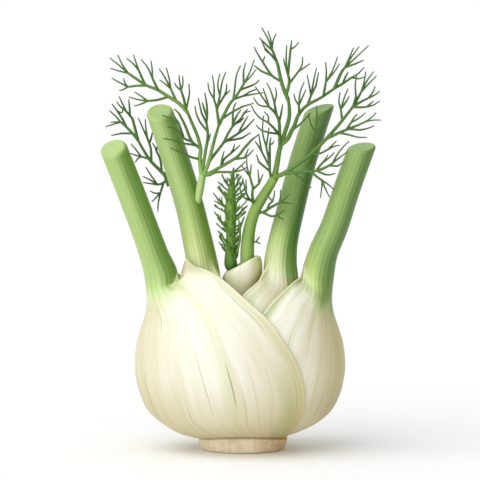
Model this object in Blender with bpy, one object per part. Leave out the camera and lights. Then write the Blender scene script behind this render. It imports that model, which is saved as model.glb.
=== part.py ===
"""Fennel bulb: four nested leaves with cut stalks, a heart with feathery fronds, on a trimmed root plate.

Points are millimetres in the part's own frame: X to the right, Y to the back, Z up, with the origin at the
middle of the flat root face. Each leaf is a thick sheet wrapped round the bulb, closed in above the
shoulder into a stalk.
"""
import math
import random

import bpy
from mathutils import Vector

MM = 0.001

# Driving dimensions, mm
BULB_CENTRE = -0.4
STEM_CONE_HEIGHT = 26.0
BASE_HEIGHT = 5.8
BASE_ARCH = 2.6
BASE_ARCH_REACH = 12.0
PLATE_ARCH = 2.4
SHEATH_GAP = 0.9
PLATE_EDGE_GAP = 1.2
PLATE_FRONT_GAP = 1.0
MARGIN_THINNING = 0.45
CUT_ROUNDING = 0.9
CUT_REACH = 14.0
LAST_ROW_DROP = 10.0
CORNER_ROUNDING = 0.3
THREAD_RADIUS = 0.52
TIP_RADIUS = 0.42
FROND_SEED = 7

# The fronds are drawn by hand over the photograph: one pixel of it is half a millimetre
PIXEL = 0.5
AXIS_COLUMN = 241.0
GROUND_ROW = 450.5

# The bulb's outer form: height, left edge, right edge, half depth
HULL = [
    (5.8, -22.5, 22.5, 18.5),
    (8.0, -30.5, 28.9, 24.0),
    (13.0, -39.3, 38.9, 30.0),
    (19.3, -46.5, 46.2, 34.6),
    (27.3, -50.5, 50.5, 38.0),
    (34.4, -52.6, 52.4, 39.8),
    (42.4, -53.5, 53.3, 40.5),
    (52.3, -52.6, 52.4, 39.8),
    (60.0, -50.8, 50.4, 37.6),
    (67.0, -48.5, 48.0, 34.2),
    (73.0, -47.3, 46.5, 30.5),
    (80.0, -47.5, 46.1, 25.6),
    (88.0, -48.6, 46.6, 20.6),
    (96.0, -50.8, 48.4, 16.8),
    (104.0, -53.0, 50.5, 14.5),
]

# Sheath thickness at its thick side and at the front and back: height, side, front
THICKNESS = {
    "leaf_outer_left": [
        (5.8, 4.5, 2.2), (20, 8, 3.8), (42, 10, 4.4), (60, 10.5, 3.6), (75, 14, 2.2), (88, 17, 1.8),
    ],
    "leaf_outer_right": [
        (5.8, 4.5, 2.2), (20, 8, 3.8), (42, 10, 4.4), (60, 10, 3.4), (75, 12, 2.1), (88, 15, 1.8),
    ],
    "leaf_inner_left": [
        (5.8, 4, 2), (20, 7, 3.4), (42, 9.5, 4.2), (60, 11, 3.4), (75, 16, 2.1), (88, 20, 1.8),
    ],
    "leaf_inner_right": [
        (5.8, 4, 2), (20, 7, 3.4), (42, 9.5, 4.2), (60, 11, 3.4), (75, 16, 2.1), (88, 19, 1.8),
    ],
}
LAYERS = list(THICKNESS)
SIDES = {"leaf_outer_left": -1, "leaf_outer_right": 1, "leaf_inner_left": -1, "leaf_inner_right": 1}

# Margins of each sheath: height along the leaf's middle, then the margin's x and z
FRONT_MARGINS = {
    "leaf_outer_left": [
        (5.8, 22.6, 6.2), (11, 26.4, 11.2), (17, 29.5, 17.4), (24.6, 31.6, 24.8), (31.8, 31.6, 32.3),
        (38, 30.4, 39.1), (45, 27.7, 46.9), (51, 24.2, 53.4), (57, 19.7, 59.9), (62.5, 15.2, 66.3),
        (67, 9.9, 71.5), (71, 3.6, 76.6), (75, -2.7, 82.1), (78, -8, 86.4), (80, -12.5, 88.8),
        (81.5, -20, 88.6), (82.8, -27, 87.2), (83.6, -31, 86.0), (90, -31.6, 90),
    ],
    "leaf_outer_right": [
        (5.8, -7, 6.2), (20, -13, 20), (36, -13, 36), (50, -6, 51), (59, 2, 62.6), (66, 11.2, 71.4),
        (70, 15.2, 76.0), (74, 20, 80.4), (79, 25.0, 84.6), (82, 27.4, 86.3),
        (85, 29.3, 87.6), (90, 31.0, 91.8), (96, 32.4, 97),
    ],
    "leaf_inner_left": [
        (5.8, 8, 6.2), (20, 12, 20), (36, 13, 36), (50, 9, 52), (60, 3, 63), (68, -2, 71), (75, -6.5, 78),
        (81, -9.3, 84), (86, -10.0, 88.4), (94, -12.2, 95.4), (98, -12.9, 98),
    ],
    "leaf_inner_right": [
        (5.8, -7, 6.2), (20, -12, 20), (36, -13, 36), (50, -11, 52), (60, -7, 64), (68, -3, 73),
        (74, 1.4, 79.9), (81, 8.8, 86.2), (90, 10.9, 92.8), (97, 11.8, 97.5),
    ],
}
BACK_MARGINS = {
    "leaf_outer_left": [
        (5.8, 10, 6.2), (20, 13, 20), (36, 14, 36), (50, 9, 51), (62, -1, 64.5), (70, -10, 74), (77, -19, 82),
        (84.5, -29, 87), (90, -31, 90),
    ],
    "leaf_outer_right": [
        (5.8, -8, 6.2), (20, -11, 20), (36, -11, 36), (50, -5, 51), (60, 4, 63), (70, 15, 74), (78, 24, 81.5),
        (84.5, 31, 87), (90, 32, 90),
    ],
    "leaf_inner_left": [
        (5.8, 7, 6.2), (20, 12, 20), (36, 13, 36), (50, 10, 52), (60, 5, 63), (70, -1, 73), (78, -6, 80.5),
        (86, -11, 87.5), (94, -12, 94),
    ],
    "leaf_inner_right": [
        (5.8, -7, 6.2), (20, -12, 20), (36, -13, 36), (50, -11, 52), (60, -6, 63), (70, 1, 72.5), (78, 7, 80),
        (86, 11, 87.5), (94, 12, 94),
    ],
}

# The pointed lobe at the front of the outermost leaf: x, and how far it lifts the margin
LOBE = [
    (-30.3, 0), (-29.7, 2.4), (-29.1, 4.8), (-28.3, 7.8), (-27.5, 9.4), (-26.8, 8.9), (-25, 7.0),
    (-22.3, 4.7), (-17, 2.6), (-12.5, 0.5), (-8, 0),
]
LOBE_HEIGHT = 9.4
LOBE_FOOT = 66.0
LOBE_BASE = 86.0
LOBE_THINNING = 0.3

# Stalks: height, x, y, then the width seen from the front and the width from front to back
STALKS = {
    "leaf_outer_left": [
        (58, -41, 0, 17.6, 44), (72.8, -39.5, 0, 15.8, 35), (80, -39.2, 0, 16.8, 26),
        (88, -40.1, 0, 16.9, 20), (97, -43.2, -0.4, 14.8, 17), (110.7, -48, -1.5, 14, 16),
        (130, -55.1, -3.5, 13.8, 15.4), (151.8, -63.5, -6, 13.6, 14.8),
    ],
    "leaf_outer_right": [
        (58, 41, 0, 16.6, 42), (72.8, 38.7, 0, 14.8, 34), (80, 38.2, 0, 15.6, 25),
        (87.2, 38.4, 0, 16.4, 19), (99.2, 41.2, -0.5, 14.8, 16.5), (112, 46.6, -1.6, 13.9, 15.6),
        (130, 52.4, -3.4, 13.4, 15), (152.1, 60.1, -5.5, 13.2, 14.6),
    ],
    "leaf_inner_left": [
        (58, -20.6, 0, 19, 32), (75, -19.6, 0, 18.2, 23.4), (86, -18.7, 0, 17.0, 18),
        (95.8, -19.9, 0.2, 15.6, 16.8), (107.8, -22.4, 0.8, 14.8, 16.6), (122.8, -25.9, 1.8, 14.2, 16),
        (145.3, -32.7, 3.2, 13.8, 15.4), (169.7, -40.9, 4.6, 13.4, 15),
    ],
    "leaf_inner_right": [
        (58, 20.6, 0, 17.6, 34), (75, 20.3, 0, 17.8, 26), (86, 19.9, 0, 17.4, 20),
        (94.8, 19.8, 0.3, 16.4, 17.8), (105.2, 21.2, 1, 14.8, 16.6), (122.7, 25.4, 2.4, 13.8, 16),
        (145.2, 31.2, 4, 13.5, 15.4), (171.0, 39.4, 5.6, 13.2, 15),
    ],
}

# Slant of each stalk's cut end: rise towards the outer side, and rise towards the back
CUT_SLANTS = {
    "leaf_outer_left": (0.08, 0.42),
    "leaf_outer_right": (0.44, 0.24),
    "leaf_inner_left": (0.13, 0.56),
    "leaf_inner_right": (0.6, 0.32),
}

# Where each stalk closes in above its sheath: heights for the middle and for the margins
SHOULDERS = {
    "leaf_outer_left": (62, 86, 83.6, 89),
    "leaf_outer_right": (62, 86, 81, 96),
    "leaf_inner_left": (62, 90, 82, 98),
    "leaf_inner_right": (62, 90, 83, 97),
}
SEAM_ANGLES = {
    "leaf_outer_left": (math.radians(164), math.radians(140)),
    "leaf_outer_right": (math.radians(166), math.radians(140)),
    "leaf_inner_left": (math.radians(130), math.radians(130)),
    "leaf_inner_right": (math.radians(135), math.radians(130)),
}
SEAM_WIDTH = math.radians(12)
ROW_HEIGHTS = [
    5.8, 7, 9.5, 14, 21, 30, 40, 50, 59, 66, 72, 76, 79.5, 81.6, 82.4, 82.9, 83.5, 84.8, 86.6, 88.4,
    92, 98, 110, 130,
]
COLUMNS = 16

# Stems of the fronds: x, y, z and radius, mm
STEMS = {
    "frond_left": [(-20.9, -4.1, 128.4, 1.4), (-20.2, -5.0, 132.4, 2.0), (-19.2, -6.2, 137.0, 1.7)],
    "frond_left_back": [(-36.2, 7.6, 131.8, 1.0), (-37.1, 7.8, 134.4, 1.1), (-38.3, 8.0, 137.4, 0.9)],
    "frond_right": [
        (3.2, 0, 82.5, 2.9), (3.1, -0.3, 96.3, 3.5), (3.4, -1.2, 104.3, 3.3), (4.5, -2.6, 112.3, 3.0),
        (7.0, -4.6, 120.4, 2.8), (9.0, -6.0, 124.2, 2.7), (13.4, -9.6, 131.5, 2.4), (16.6, -12.4, 137.2, 2.2),
    ],
    "frond_young": [
        (-3.8, 0.6, 82.5, 2.2), (-3.8, 0.6, 89.4, 2.2), (-5.0, 0.7, 92.6, 3.3), (-5.3, 0.8, 95.5, 3.1),
        (-5.2, 0.9, 100, 2.7), (-5.0, 1.0, 107.8, 2.5), (-5.2, 1.1, 116.0, 2.9), (-5.1, 1.2, 123.0, 2.8),
        (-4.7, 1.3, 130.0, 2.0), (-4.2, 1.4, 136.0, 1.1), (-3.7, 1.5, 141.2, 0.45),
    ],
}

# Twigs of each frond: the depth it ends at and its first radius, mm, then its course and thread tips, pixels
TWIGS = {
    "frond_left": [
        (-10, 1.25, [(203, 178), (201.3, 159.5), (201.3, 148), (197.5, 136.5), (188.3, 113.6)], []),
        (-1, 1.0, [(188.3, 113.6), (177.5, 101.7), (157.4, 89.6), (147, 85.6), (128.7, 73.5)],
         [(110.9, 58.6), (118.9, 55.7), (111.5, 69)]),
        (-6, 0.7, [(146, 84.4), (139.6, 70.7)], [(128, 59.2), (134.7, 55.7)]),
        (-12, 0.7, [(159, 90.2), (153.7, 78.7)], [(142.8, 60.3), (152.5, 61.5)]),
        (3, 0.7, [(147, 86.7), (128, 87.3)], [(112.3, 78.7), (124, 78.7), (119.8, 90.8)]),
        (-3, 0.7, [(177.5, 101), (171.2, 89)], [(160, 69.5), (166.9, 68.4), (160.3, 80.4)]),
        (-10, 0.7, [(168.9, 97.6), (148.8, 101)], [(135.9, 92.2), (130.7, 97), (135.9, 105.7)]),
        (-15, 0.7, [(187.8, 110.9), (182.7, 93.6)], [(175.8, 83.3), (180, 75.8), (189.6, 84)]),
        (-12, 0.7, [(198.3, 147.2), (190.6, 140.4), (182.2, 132)],
         [(164.6, 138), (163.8, 118), (175.3, 112)]),
        (-12, 0.7, [(201.3, 159.5), (188, 152)], [(171.5, 147.2), (174, 155)]),
        (-14, 0.95, [(203.5, 176), (205.9, 155.6), (208.2, 136.5), (205.9, 123)],
         [(195.6, 105.9), (200.5, 97), (207.5, 93)]),
        (-13, 0.7, [(207.5, 140), (209.5, 133)], [(211.5, 120), (213.5, 129)]),
        (-14, 1.15, [(203.5, 176), (212, 155.6), (215.8, 140.3), (218.9, 125)], []),
        (-19, 0.7, [(218.9, 125), (217.4, 109.7), (213.9, 97.5)], [(208.6, 83.7), (213.2, 76), (219.5, 88)]),
        (-20, 0.7, [(217.4, 109.7), (221.5, 92)], [(220, 74.2), (226.6, 74), (230, 88)]),
        (-7, 0.95, [(218.9, 125), (225, 113.6), (232.7, 99.8), (244.2, 83)],
         [(240, 66.5), (247.5, 62), (255.5, 66)]),
        (-3, 0.7, [(238.5, 91.5), (250, 86)], [(259, 78.5), (262.5, 92)]),
        (-11, 0.7, [(222.7, 120.4), (231.9, 112.8)], [(243, 101), (253.3, 103.2)]),
        (-4, 0.8, [(213.2, 151), (224.3, 141), (231, 127.3)], [(235.7, 103.6), (243.5, 108), (250, 111.6)]),
        (-1, 0.7, [(224.3, 141), (232.7, 136.5)], [(247.2, 119), (254.5, 121), (250.3, 132.7)]),
        (-9, 1.0, [(205, 173.2), (219.7, 167), (232.7, 160.2), (245, 147.5)], [(258.3, 133.8), (254, 148)]),
        (-7, 0.7, [(222, 165.5), (231, 153)], [(229, 147), (239.6, 144.9)]),
        (-10, 0.85, [(204, 175.2), (216.6, 171.7), (233.5, 170.2)], [(246, 167), (242, 162)]),
    ],
    "frond_left_back": [
        (9, 1.0, [(164.4, 175.6), (158.9, 170.3), (150.2, 161.6), (143.5, 151.5), (137.5, 140.8)], []),
        (12, 0.8, [(137.5, 140.8), (132, 132), (120, 122.7)], [(108.9, 111.4), (105.2, 127.2), (110.9, 136)]),
        (10, 0.7, [(128, 129), (120.5, 116)], [(111.5, 104.5), (121, 105)]),
        (5, 0.8, [(137.5, 140.8), (133.3, 123.5), (126.4, 112)], [(117.5, 97), (129.5, 99)]),
        (10, 0.7, [(151.5, 162), (150.2, 148.8), (146.9, 138.8)], [(137.8, 118.7), (145, 119), (152, 131)]),
        (13, 0.7, [(161.6, 172.9), (155.6, 151.5)], [(157.5, 142), (152, 144)]),
        (14, 0.7, [(148.2, 160), (138, 156)], [(129, 145.8), (128, 156.2), (134.2, 163.6)]),
        (11, 0.7, [(166.5, 180.5), (156.9, 185.7)], [(145.2, 168.3), (141.5, 177.6), (142.5, 184.5)]),
        (14, 0.7, [(163, 182.5), (158, 194.4)], [(148, 193), (151.2, 203), (157.5, 212)]),
    ],
    "frond_right": [
        (-15, 1.5, [(274, 177), (278.7, 150), (288.4, 118.2), (287.5, 100)], []),
        (-12, 1.05, [(287.5, 100), (282, 86.6), (277.2, 65.6), (272, 52)],
         [(261.4, 29), (268.5, 31), (276, 36)]),
        (-10, 0.7, [(280.7, 81.7), (271.6, 76), (262, 62)], [(253.5, 46), (254.4, 64)]),
        (-15, 0.7, [(276, 62), (270, 55)], [(261, 41), (264, 50)]),
        (-19, 0.85, [(287.7, 94), (288.4, 81.7), (285, 68)], [(283, 52), (290.5, 41.7), (297.2, 43.8)]),
        (-21, 0.7, [(288.3, 84), (297, 72)], [(301.4, 58), (308, 64.5)]),
        (-24, 0.95, [(278.6, 148), (277.9, 118.2), (268, 105.6)], [(255, 86.6), (262.4, 86), (253, 97)]),
        (-22, 0.7, [(276.5, 114), (273, 101)], [(267, 84), (275, 88), (281.7, 103)]),
        (-26, 0.7, [(276, 131), (268, 122)], [(250.9, 104.9), (256, 123.5)]),
        (-13, 1.25, [(281.5, 141), (290.5, 134), (298.2, 113), (306, 105.2), (319.3, 97.5), (333, 86)],
         [(341.5, 66), (347, 70)]),
        (-15, 0.9, [(337, 82), (343, 68)], [(351.2, 49), (358.5, 46.5), (363, 59)]),
        (-11, 0.7, [(333, 88), (350, 80)], [(362, 68), (361, 77)]),
        (-19, 0.7, [(322, 96), (324.2, 82)], [(323.8, 63), (335.4, 57.9), (337, 66)]),
        (-9, 0.7, [(306.6, 105), (310, 96)], [(306.3, 75.8), (315.4, 68.8), (318.5, 75)]),
        (-18, 0.7, [(297.5, 116), (297.5, 105.2)], [(293, 92), (301.8, 82.4), (305.5, 90)]),
        (-14, 1.3, [(274, 177), (288.2, 169), (320.7, 145.2), (339.6, 120.6), (352, 103)],
         [(354.3, 78), (363.5, 73)]),
        (-17, 0.7, [(351, 106), (364, 98.9)], [(374, 76.5), (377, 89), (377, 101)]),
        (-11, 0.7, [(339.6, 121), (340, 108)], [(338.2, 92.6), (347.4, 88.4), (349, 97)]),
        (-22, 0.85, [(325.6, 140), (336, 132.6), (348, 127.5)], [(355.3, 113), (366, 111.5), (377.2, 118.5)]),
        (-24, 0.7, [(344, 129), (356, 128)], [(369.8, 125.2), (363.5, 136)]),
        (-17, 1.0, [(284, 171.5), (301, 170.7), (315, 169)], [(327, 154.6), (334, 151), (340, 155.6)]),
        (-18, 0.7, [(312, 170), (328, 166)], [(345, 153.7), (342.4, 163), (334.8, 172.4)]),
        (-18, 0.7, [(304, 171), (321.8, 181.9)], [(319.2, 195.6), (328, 194.8), (332, 186.9)]),
        (-16, 0.7, [(292, 170.8), (302.8, 180)], [(303, 190), (311, 187.5)]),
        (-16, 0.8, [(271, 182), (267.5, 169.8)], [(256.3, 154), (268, 153), (259, 163)]),
        (-13, 0.85, [(253, 208), (252, 195.6), (252.9, 186.2)], [(251, 165), (259, 170), (244, 167)]),
        (-12, 0.7, [(252, 199), (245, 189)], [(240, 178), (239, 190.3)]),
        (-13, 0.8, [(258, 214), (263.2, 210), (279.6, 200.8)], [(280, 188.3), (288.3, 192), (291.8, 201)]),
        (-14, 0.7, [(266, 208), (268.5, 199)], [(266.5, 190), (274.4, 189)]),
        (-12, 0.7, [(263, 211.5), (275, 213)], [(283.9, 209), (282.7, 217.7)]),
        (-5, 0.7, [(250.5, 243), (256, 241)], [(259.5, 235), (260, 243)]),
    ],
    "frond_young": [
        (-4.5, 0.7, [(236, 266), (235, 256), (229.5, 248)], [(221.5, 243), (222.5, 235.5), (228, 239)]),
        (-5.5, 0.7, [(236, 266), (239.5, 241), (240, 228)], [(238, 214), (244.5, 216)]),
    ],
}
SPRIG_COUNT = 54
SPRIG_TURN = math.radians(137.5)
SPRIG_REACH = [(101, 5.0), (110, 6.6), (120, 8.2), (128, 8.4), (134, 6.6), (139, 4.2)]
SPRIG_RISE = 8.5
SPRIG_RIGHT_LIMIT = [(94, -1.8), (104, -1.2), (112, 0.0), (120, 2.8), (130, 10)]


def smooth_step(value):
    """Ease from 0 to 1."""
    value = min(1.0, max(0.0, value))
    return value * value * (3.0 - 2.0 * value)


def mix(first, second, share):
    """Blend two numbers or vectors."""
    return first + (second - first) * share


def along(stations, key):
    """Read a smooth curve through stations, whose first number is the key."""
    if key <= stations[0][0]:
        return stations[0][1:]
    if key >= stations[-1][0]:
        return stations[-1][1:]
    index = 0
    while stations[index + 1][0] < key:
        index += 1
    start, end = stations[index], stations[index + 1]
    before = stations[max(0, index - 1)]
    after = stations[min(len(stations) - 1, index + 2)]
    span = end[0] - start[0]
    t = (key - start[0]) / span
    values = []
    for column in range(1, len(start)):
        slope_in = (end[column] - before[column]) / (end[0] - before[0]) * span
        slope_out = (after[column] - start[column]) / (after[0] - start[0]) * span
        values.append(
            (2 * t**3 - 3 * t**2 + 1) * start[column]
            + (t**3 - 2 * t**2 + t) * slope_in
            + (3 * t**2 - 2 * t**3) * end[column]
            + (t**3 - t**2) * slope_out
        )
    return values


def ring(level, height, gap=0.0):
    """Left and right point, half depth and front height of the form inside the first `level` leaves."""
    left, right, depth = along(HULL, height)
    inset = {-1: gap, 1: gap, 0: gap}
    for name in LAYERS[:level]:
        side, front = along(THICKNESS[name], height)
        inset[SIDES[name]] += side
        inset[0] += front
    lift = max(0.0, STEM_CONE_HEIGHT - height)
    slope = lift / math.hypot(lift, 0.5 * (right - left))
    inward = math.sqrt(1.0 - slope * slope)
    return (
        (left + inset[-1] * inward, height + inset[-1] * slope),
        (right - inset[1] * inward, height + inset[1] * slope),
        depth - inset[0] * inward,
        height + inset[0] * slope,
    )


def ring_point(level, height, angle, gap=0.0):
    """A point of that form; the angle runs from the right side over the front."""
    left, right, depth, front_height = ring(level, height, gap)
    centre = 0.5 * (left[0] + right[0])
    half_width = 0.5 * (right[0] - left[0])
    side_height = mix(left[1], right[1], 0.5 * (1.0 + math.cos(angle)))
    arch = BASE_ARCH * (1.0 - smooth_step((height - BASE_HEIGHT) / BASE_ARCH_REACH))
    return Vector((
        centre + half_width * math.cos(angle),
        -depth * math.sin(angle),
        mix(side_height, front_height + arch, math.sin(angle) ** 2),
    ))


def margin_angle(level, height, x, front):
    """The angle at which the form's edge passes a given x."""
    left, right, _, _ = ring(level, height)
    centre = 0.5 * (left[0] + right[0])
    half_width = 0.5 * (right[0] - left[0])
    angle = math.acos(min(0.98, max(-0.98, (x - centre) / half_width)))
    return angle if front else -angle


def stalk_frame(name, height):
    """Centre, outward direction, front direction and the two widths of a stalk's section."""
    x, y, width, depth = along(STALKS[name], height)
    lower = along(STALKS[name], height - 1.0)
    upper = along(STALKS[name], height + 1.0)
    top = STALKS[name][-1][0]
    rise = min(top, height + 1.0) - (height - 1.0)
    direction = Vector((upper[0] - lower[0], upper[1] - lower[1], rise)).normalized()
    forward = Vector((0, -1, 0))
    forward = (forward - direction * forward.dot(direction)).normalized()
    outward = forward.cross(direction).normalized()
    if outward.x * SIDES[name] < 0:
        outward = -outward
    return Vector((x, y, height)), outward, forward, width, depth


def closing_share(name, height, edge_share):
    """How far a leaf has closed in from sheath to stalk; the margins close in last."""
    mid_low, mid_high, edge_low, edge_high = SHOULDERS[name]
    low = mix(mid_low, edge_low, edge_share)
    high = mix(mid_high, edge_high, edge_share)
    return smooth_step((height - low) / (high - low))


def lobe_lift(point):
    """How far the lobe raises a point of the outermost leaf."""
    return along(LOBE, point.x)[0] * smooth_step((point.z - LOBE_FOOT) / (LOBE_BASE - LOBE_FOOT))


def lobe_point(level, point):
    """The point raised into the lobe, on the same form."""
    lift = lobe_lift(point)
    if lift <= 0.0:
        return point
    height = point.z + lift
    return ring_point(level, height, margin_angle(level, height, point.x, True))


def leaf_pair(name, height, t, shrink=0.0):
    """The outer and the inner point of a leaf; t runs from -1 at the back margin to 1 at the front one."""
    level = LAYERS.index(name)
    margins = FRONT_MARGINS if t >= 0 else BACK_MARGINS
    margin_x, margin_z = along(margins[name], height)
    share = abs(t)
    row_height = height + (margin_z - height) * share * share
    middle = math.pi if SIDES[name] < 0 else 0.0
    turn = 2.0 * math.pi if SIDES[name] < 0 and t < 0 else 0.0
    outer_edge = margin_angle(level, margin_z, margin_x, t >= 0) + turn
    inner_edge = margin_angle(level + 1, margin_z, margin_x, t >= 0) + turn
    outer = ring_point(level, row_height, mix(middle, outer_edge, share), SHEATH_GAP if level else 0.0)
    inner = ring_point(level + 1, row_height, mix(middle, inner_edge, share))
    thinning = MARGIN_THINNING * smooth_step((share - 0.7) / 0.3)
    if level == 0 and t > 0:
        thinning += LOBE_THINNING * lobe_lift(outer) / LOBE_HEIGHT
        outer = lobe_point(0, outer)
        inner = lobe_point(1, inner)
    outer = outer.lerp(inner, thinning)

    outer_closing = closing_share(name, height, share ** 3)
    inner_closing = closing_share(name, height, share ** 1.2)
    if max(outer_closing, inner_closing) > 0.0:
        centre, outward, forward, width, depth = stalk_frame(name, height)
        seam_front, seam_back = SEAM_ANGLES[name]
        around = t * (seam_front if t >= 0 else seam_back)
        inside = math.pi + 0.5 * (seam_front - seam_back) - t * (
            math.pi - SEAM_WIDTH - 0.5 * (seam_front + seam_back)
        )
        half_width = 0.5 * width - shrink
        half_depth = 0.5 * depth - shrink
        up = forward.cross(outward) * SIDES[name]
        ramp = smooth_step((height - STALKS[name][-1][0] + CUT_REACH) / CUT_REACH)
        rise_out, rise_back = CUT_SLANTS[name]
        sides = []
        for angle in (around, inside):
            across = half_width * math.cos(angle)
            front = half_depth * math.sin(angle)
            slant = ramp * (rise_out * across - rise_back * front)
            sides.append(centre + outward * across + forward * front + up * slant)
        outer = outer.lerp(sides[0], outer_closing)
        inner = inner.lerp(sides[1], inner_closing)
    return outer, inner


def skin(name, colour, roughness):
    """A piece's own material."""
    material = bpy.data.materials.new(name + "_skin")
    material.use_nodes = True
    shader = material.node_tree.nodes["Principled BSDF"]
    shader.inputs["Base Color"].default_value = (*colour, 1.0)
    shader.inputs["Roughness"].default_value = roughness
    return material


def make_object(name, points, faces, colour, roughness):
    """One named piece with its own material."""
    mesh = bpy.data.meshes.new(name)
    mesh.from_pydata([tuple(Vector(point) * MM) for point in points], [], faces)
    mesh.validate()
    mesh.update()
    piece = bpy.data.objects.new(name, mesh)
    bpy.context.scene.collection.objects.link(piece)
    mesh.materials.append(skin(name, colour, roughness))
    mesh.shade_smooth()
    mesh.set_sharp_from_angle(angle=math.radians(50))
    return piece


def triangulated_quad(a, b, c, d):
    """Two triangles of a quad, split alike everywhere."""
    return [(a, b, c), (a, c, d)]


def make_leaf(name, colour):
    """A leaf as a closed thick sheet: outer face, inner face, two margins, base and cut top."""
    top = STALKS[name][-1][0]
    heights = ROW_HEIGHTS + [top - LAST_ROW_DROP]
    rows = [(height, 0.0) for height in heights]
    rows += [(top - CUT_ROUNDING, 0.0), (top, CUT_ROUNDING)]
    columns = [index / COLUMNS * 2.0 - 1.0 for index in range(COLUMNS + 1)]
    points = []
    for height, shrink in rows:
        pairs = [leaf_pair(name, height, t, shrink) for t in columns]
        points += [outer for outer, _ in pairs]
        points += [inner for _, inner in reversed(pairs)]
    ring_size = 2 * (COLUMNS + 1)
    faces = []
    for row in range(len(rows) - 1):
        for column in range(ring_size):
            a = row * ring_size + column
            b = row * ring_size + (column + 1) % ring_size
            faces += triangulated_quad(a, b, b + ring_size, a + ring_size)
    last = (len(rows) - 1) * ring_size
    for column in range(COLUMNS):
        a, b = column, column + 1
        c, d = ring_size - 2 - column, ring_size - 1 - column
        faces += triangulated_quad(d, c, b, a)
        faces += triangulated_quad(last + a, last + b, last + c, last + d)
    if SIDES[name] > 0:
        faces = [tuple(reversed(face)) for face in faces]
    return make_object(name, points, faces, colour, 0.5)


def turned_solid(name, sections, sides, colour):
    """A closed solid through elliptical sections: x, arch, z, half width, half depth, slant to the right."""
    points = []
    for x, arch, z, half_width, half_depth, tilt in sections:
        for index in range(sides):
            angle = 2.0 * math.pi * index / sides
            slant = math.cos(angle) - CORNER_ROUNDING * max(0.0, math.cos(angle)) ** 4
            points.append((
                x + half_width * math.cos(angle),
                half_depth * math.sin(angle),
                z + tilt * half_width * slant + arch * math.sin(angle) ** 2,
            ))
    faces = [tuple(reversed(range(sides)))]
    for row in range(len(sections) - 1):
        for index in range(sides):
            a = row * sides + index
            b = row * sides + (index + 1) % sides
            faces += triangulated_quad(a, b, b + sides, a + sides)
    faces.append(tuple(range((len(sections) - 1) * sides, len(sections) * sides)))
    return make_object(name, points, faces, colour, 0.55)


def make_root_plate():
    """The trimmed root: a flat foot with a rounded edge, and the low cone that the leaves grow from."""
    sections = [
        (1.1, 0, 0.0, 19.8, 15.6, 0),
        (1.1, 0, 0.7, 20.8, 16.6, 0),
        (1.1, 0.3 * PLATE_ARCH, 2.4, 21.6, 17.5, 0),
        (1.1, 0.7 * PLATE_ARCH, 4.2, 22.1, 18.2, 0),
        (1.0, PLATE_ARCH, 5.3, 22.3, 18.4, 0),
    ]
    left, right, depth, front = ring(len(LAYERS), HULL[0][0])
    half_width = right[0] - PLATE_EDGE_GAP
    sections.append((BULB_CENTRE, 0, left[1] - PLATE_EDGE_GAP, half_width, depth - PLATE_FRONT_GAP, 0))
    return turned_solid("root_plate", sections, 40, (0.72, 0.56, 0.38))


def make_heart_sheath():
    """The innermost sheath: a narrow bud with an oblique mouth and a pocket that the fronds rise from."""
    outside = [
        (0.0, 0, 13.2, 12.5, 8.4, 0),
        (0.0, 0, 17.5, 19.5, 13.4, 0),
        (0.0, 0, 24.0, 25.5, 17.5, 0),
        (0.0, 0, 33.0, 29.5, 20.2, 0),
        (0.0, 0, 43.0, 30.0, 20.6, 0),
        (0.0, 0, 52.0, 27.5, 19.8, 0),
        (0.2, 0, 61.0, 21.0, 17.4, 0),
        (0.4, 0, 69.0, 14.4, 14.4, 0),
        (0.6, 0, 76.0, 10.9, 12.0, 0),
        (0.6, 0, 82.0, 10.0, 10.8, 0.14),
        (0.6, 0, 87.5, 10.1, 10.0, 0.36),
        (0.6, 0, 91.0, 9.9, 9.5, 0.48),
        (0.6, 0, 93.0, 9.3, 8.8, 0.54),
        (0.6, 0, 94.0, 8.4, 7.8, 0.56),
    ]
    pocket = [
        (0.6, 0, 93.4, 7.5, 6.9, 0.56),
        (0.6, 0, 88.0, 7.4, 6.8, 0.2),
        (0.6, 0, 82.0, 7.2, 6.4, 0),
    ]
    return turned_solid("heart_sheath", outside + pocket, 28, (0.90, 0.88, 0.74))


def tapered_tube(name, course, sides):
    """A closed tube through a course of (point, radius)."""
    points = []
    for index, (centre, radius) in enumerate(course):
        ahead = course[min(index + 1, len(course) - 1)][0]
        behind = course[max(index - 1, 0)][0]
        along_axis = (ahead - behind).normalized()
        across = along_axis.cross(Vector((0, -1, 0)))
        if across.length < 0.2:
            across = along_axis.cross(Vector((1, 0, 0)))
        across.normalize()
        third = along_axis.cross(across)
        for side in range(sides):
            angle = 2.0 * math.pi * side / sides
            points.append(centre + across * (radius * math.cos(angle)) + third * (radius * math.sin(angle)))
    faces = [tuple(reversed(range(sides)))]
    for row in range(len(course) - 1):
        for side in range(sides):
            a = row * sides + side
            b = row * sides + (side + 1) % sides
            faces.append((a, b, b + sides, a + sides))
    faces.append(tuple(range((len(course) - 1) * sides, len(course) * sides)))
    mesh = bpy.data.meshes.new(name)
    mesh.from_pydata([tuple(point * MM) for point in points], [], faces)
    mesh.update()
    return bpy.data.objects.new(name, mesh)


def photo_point(column, row, y):
    """A point over a pixel of the photograph, at a depth in mm."""
    return Vector(((column - AXIS_COLUMN) * PIXEL, y, (GROUND_ROW - row) * PIXEL))


def nearest_on(courses, point):
    """The closest point, seen from the front, on the centre lines already grown."""
    best = None
    for course in courses:
        for (start, _), (end, _) in zip(course, course[1:]):
            run = end - start
            flat_run = Vector((run.x, run.z))
            flat_offset = Vector((point.x - start.x, point.z - start.z))
            share = min(1.0, max(0.0, flat_offset.dot(flat_run) / flat_run.length_squared))
            candidate = start + run * share
            distance = math.hypot(candidate.x - point.x, candidate.z - point.z)
            if best is None or distance < best[0]:
                best = (distance, candidate)
    return best[1]


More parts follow.
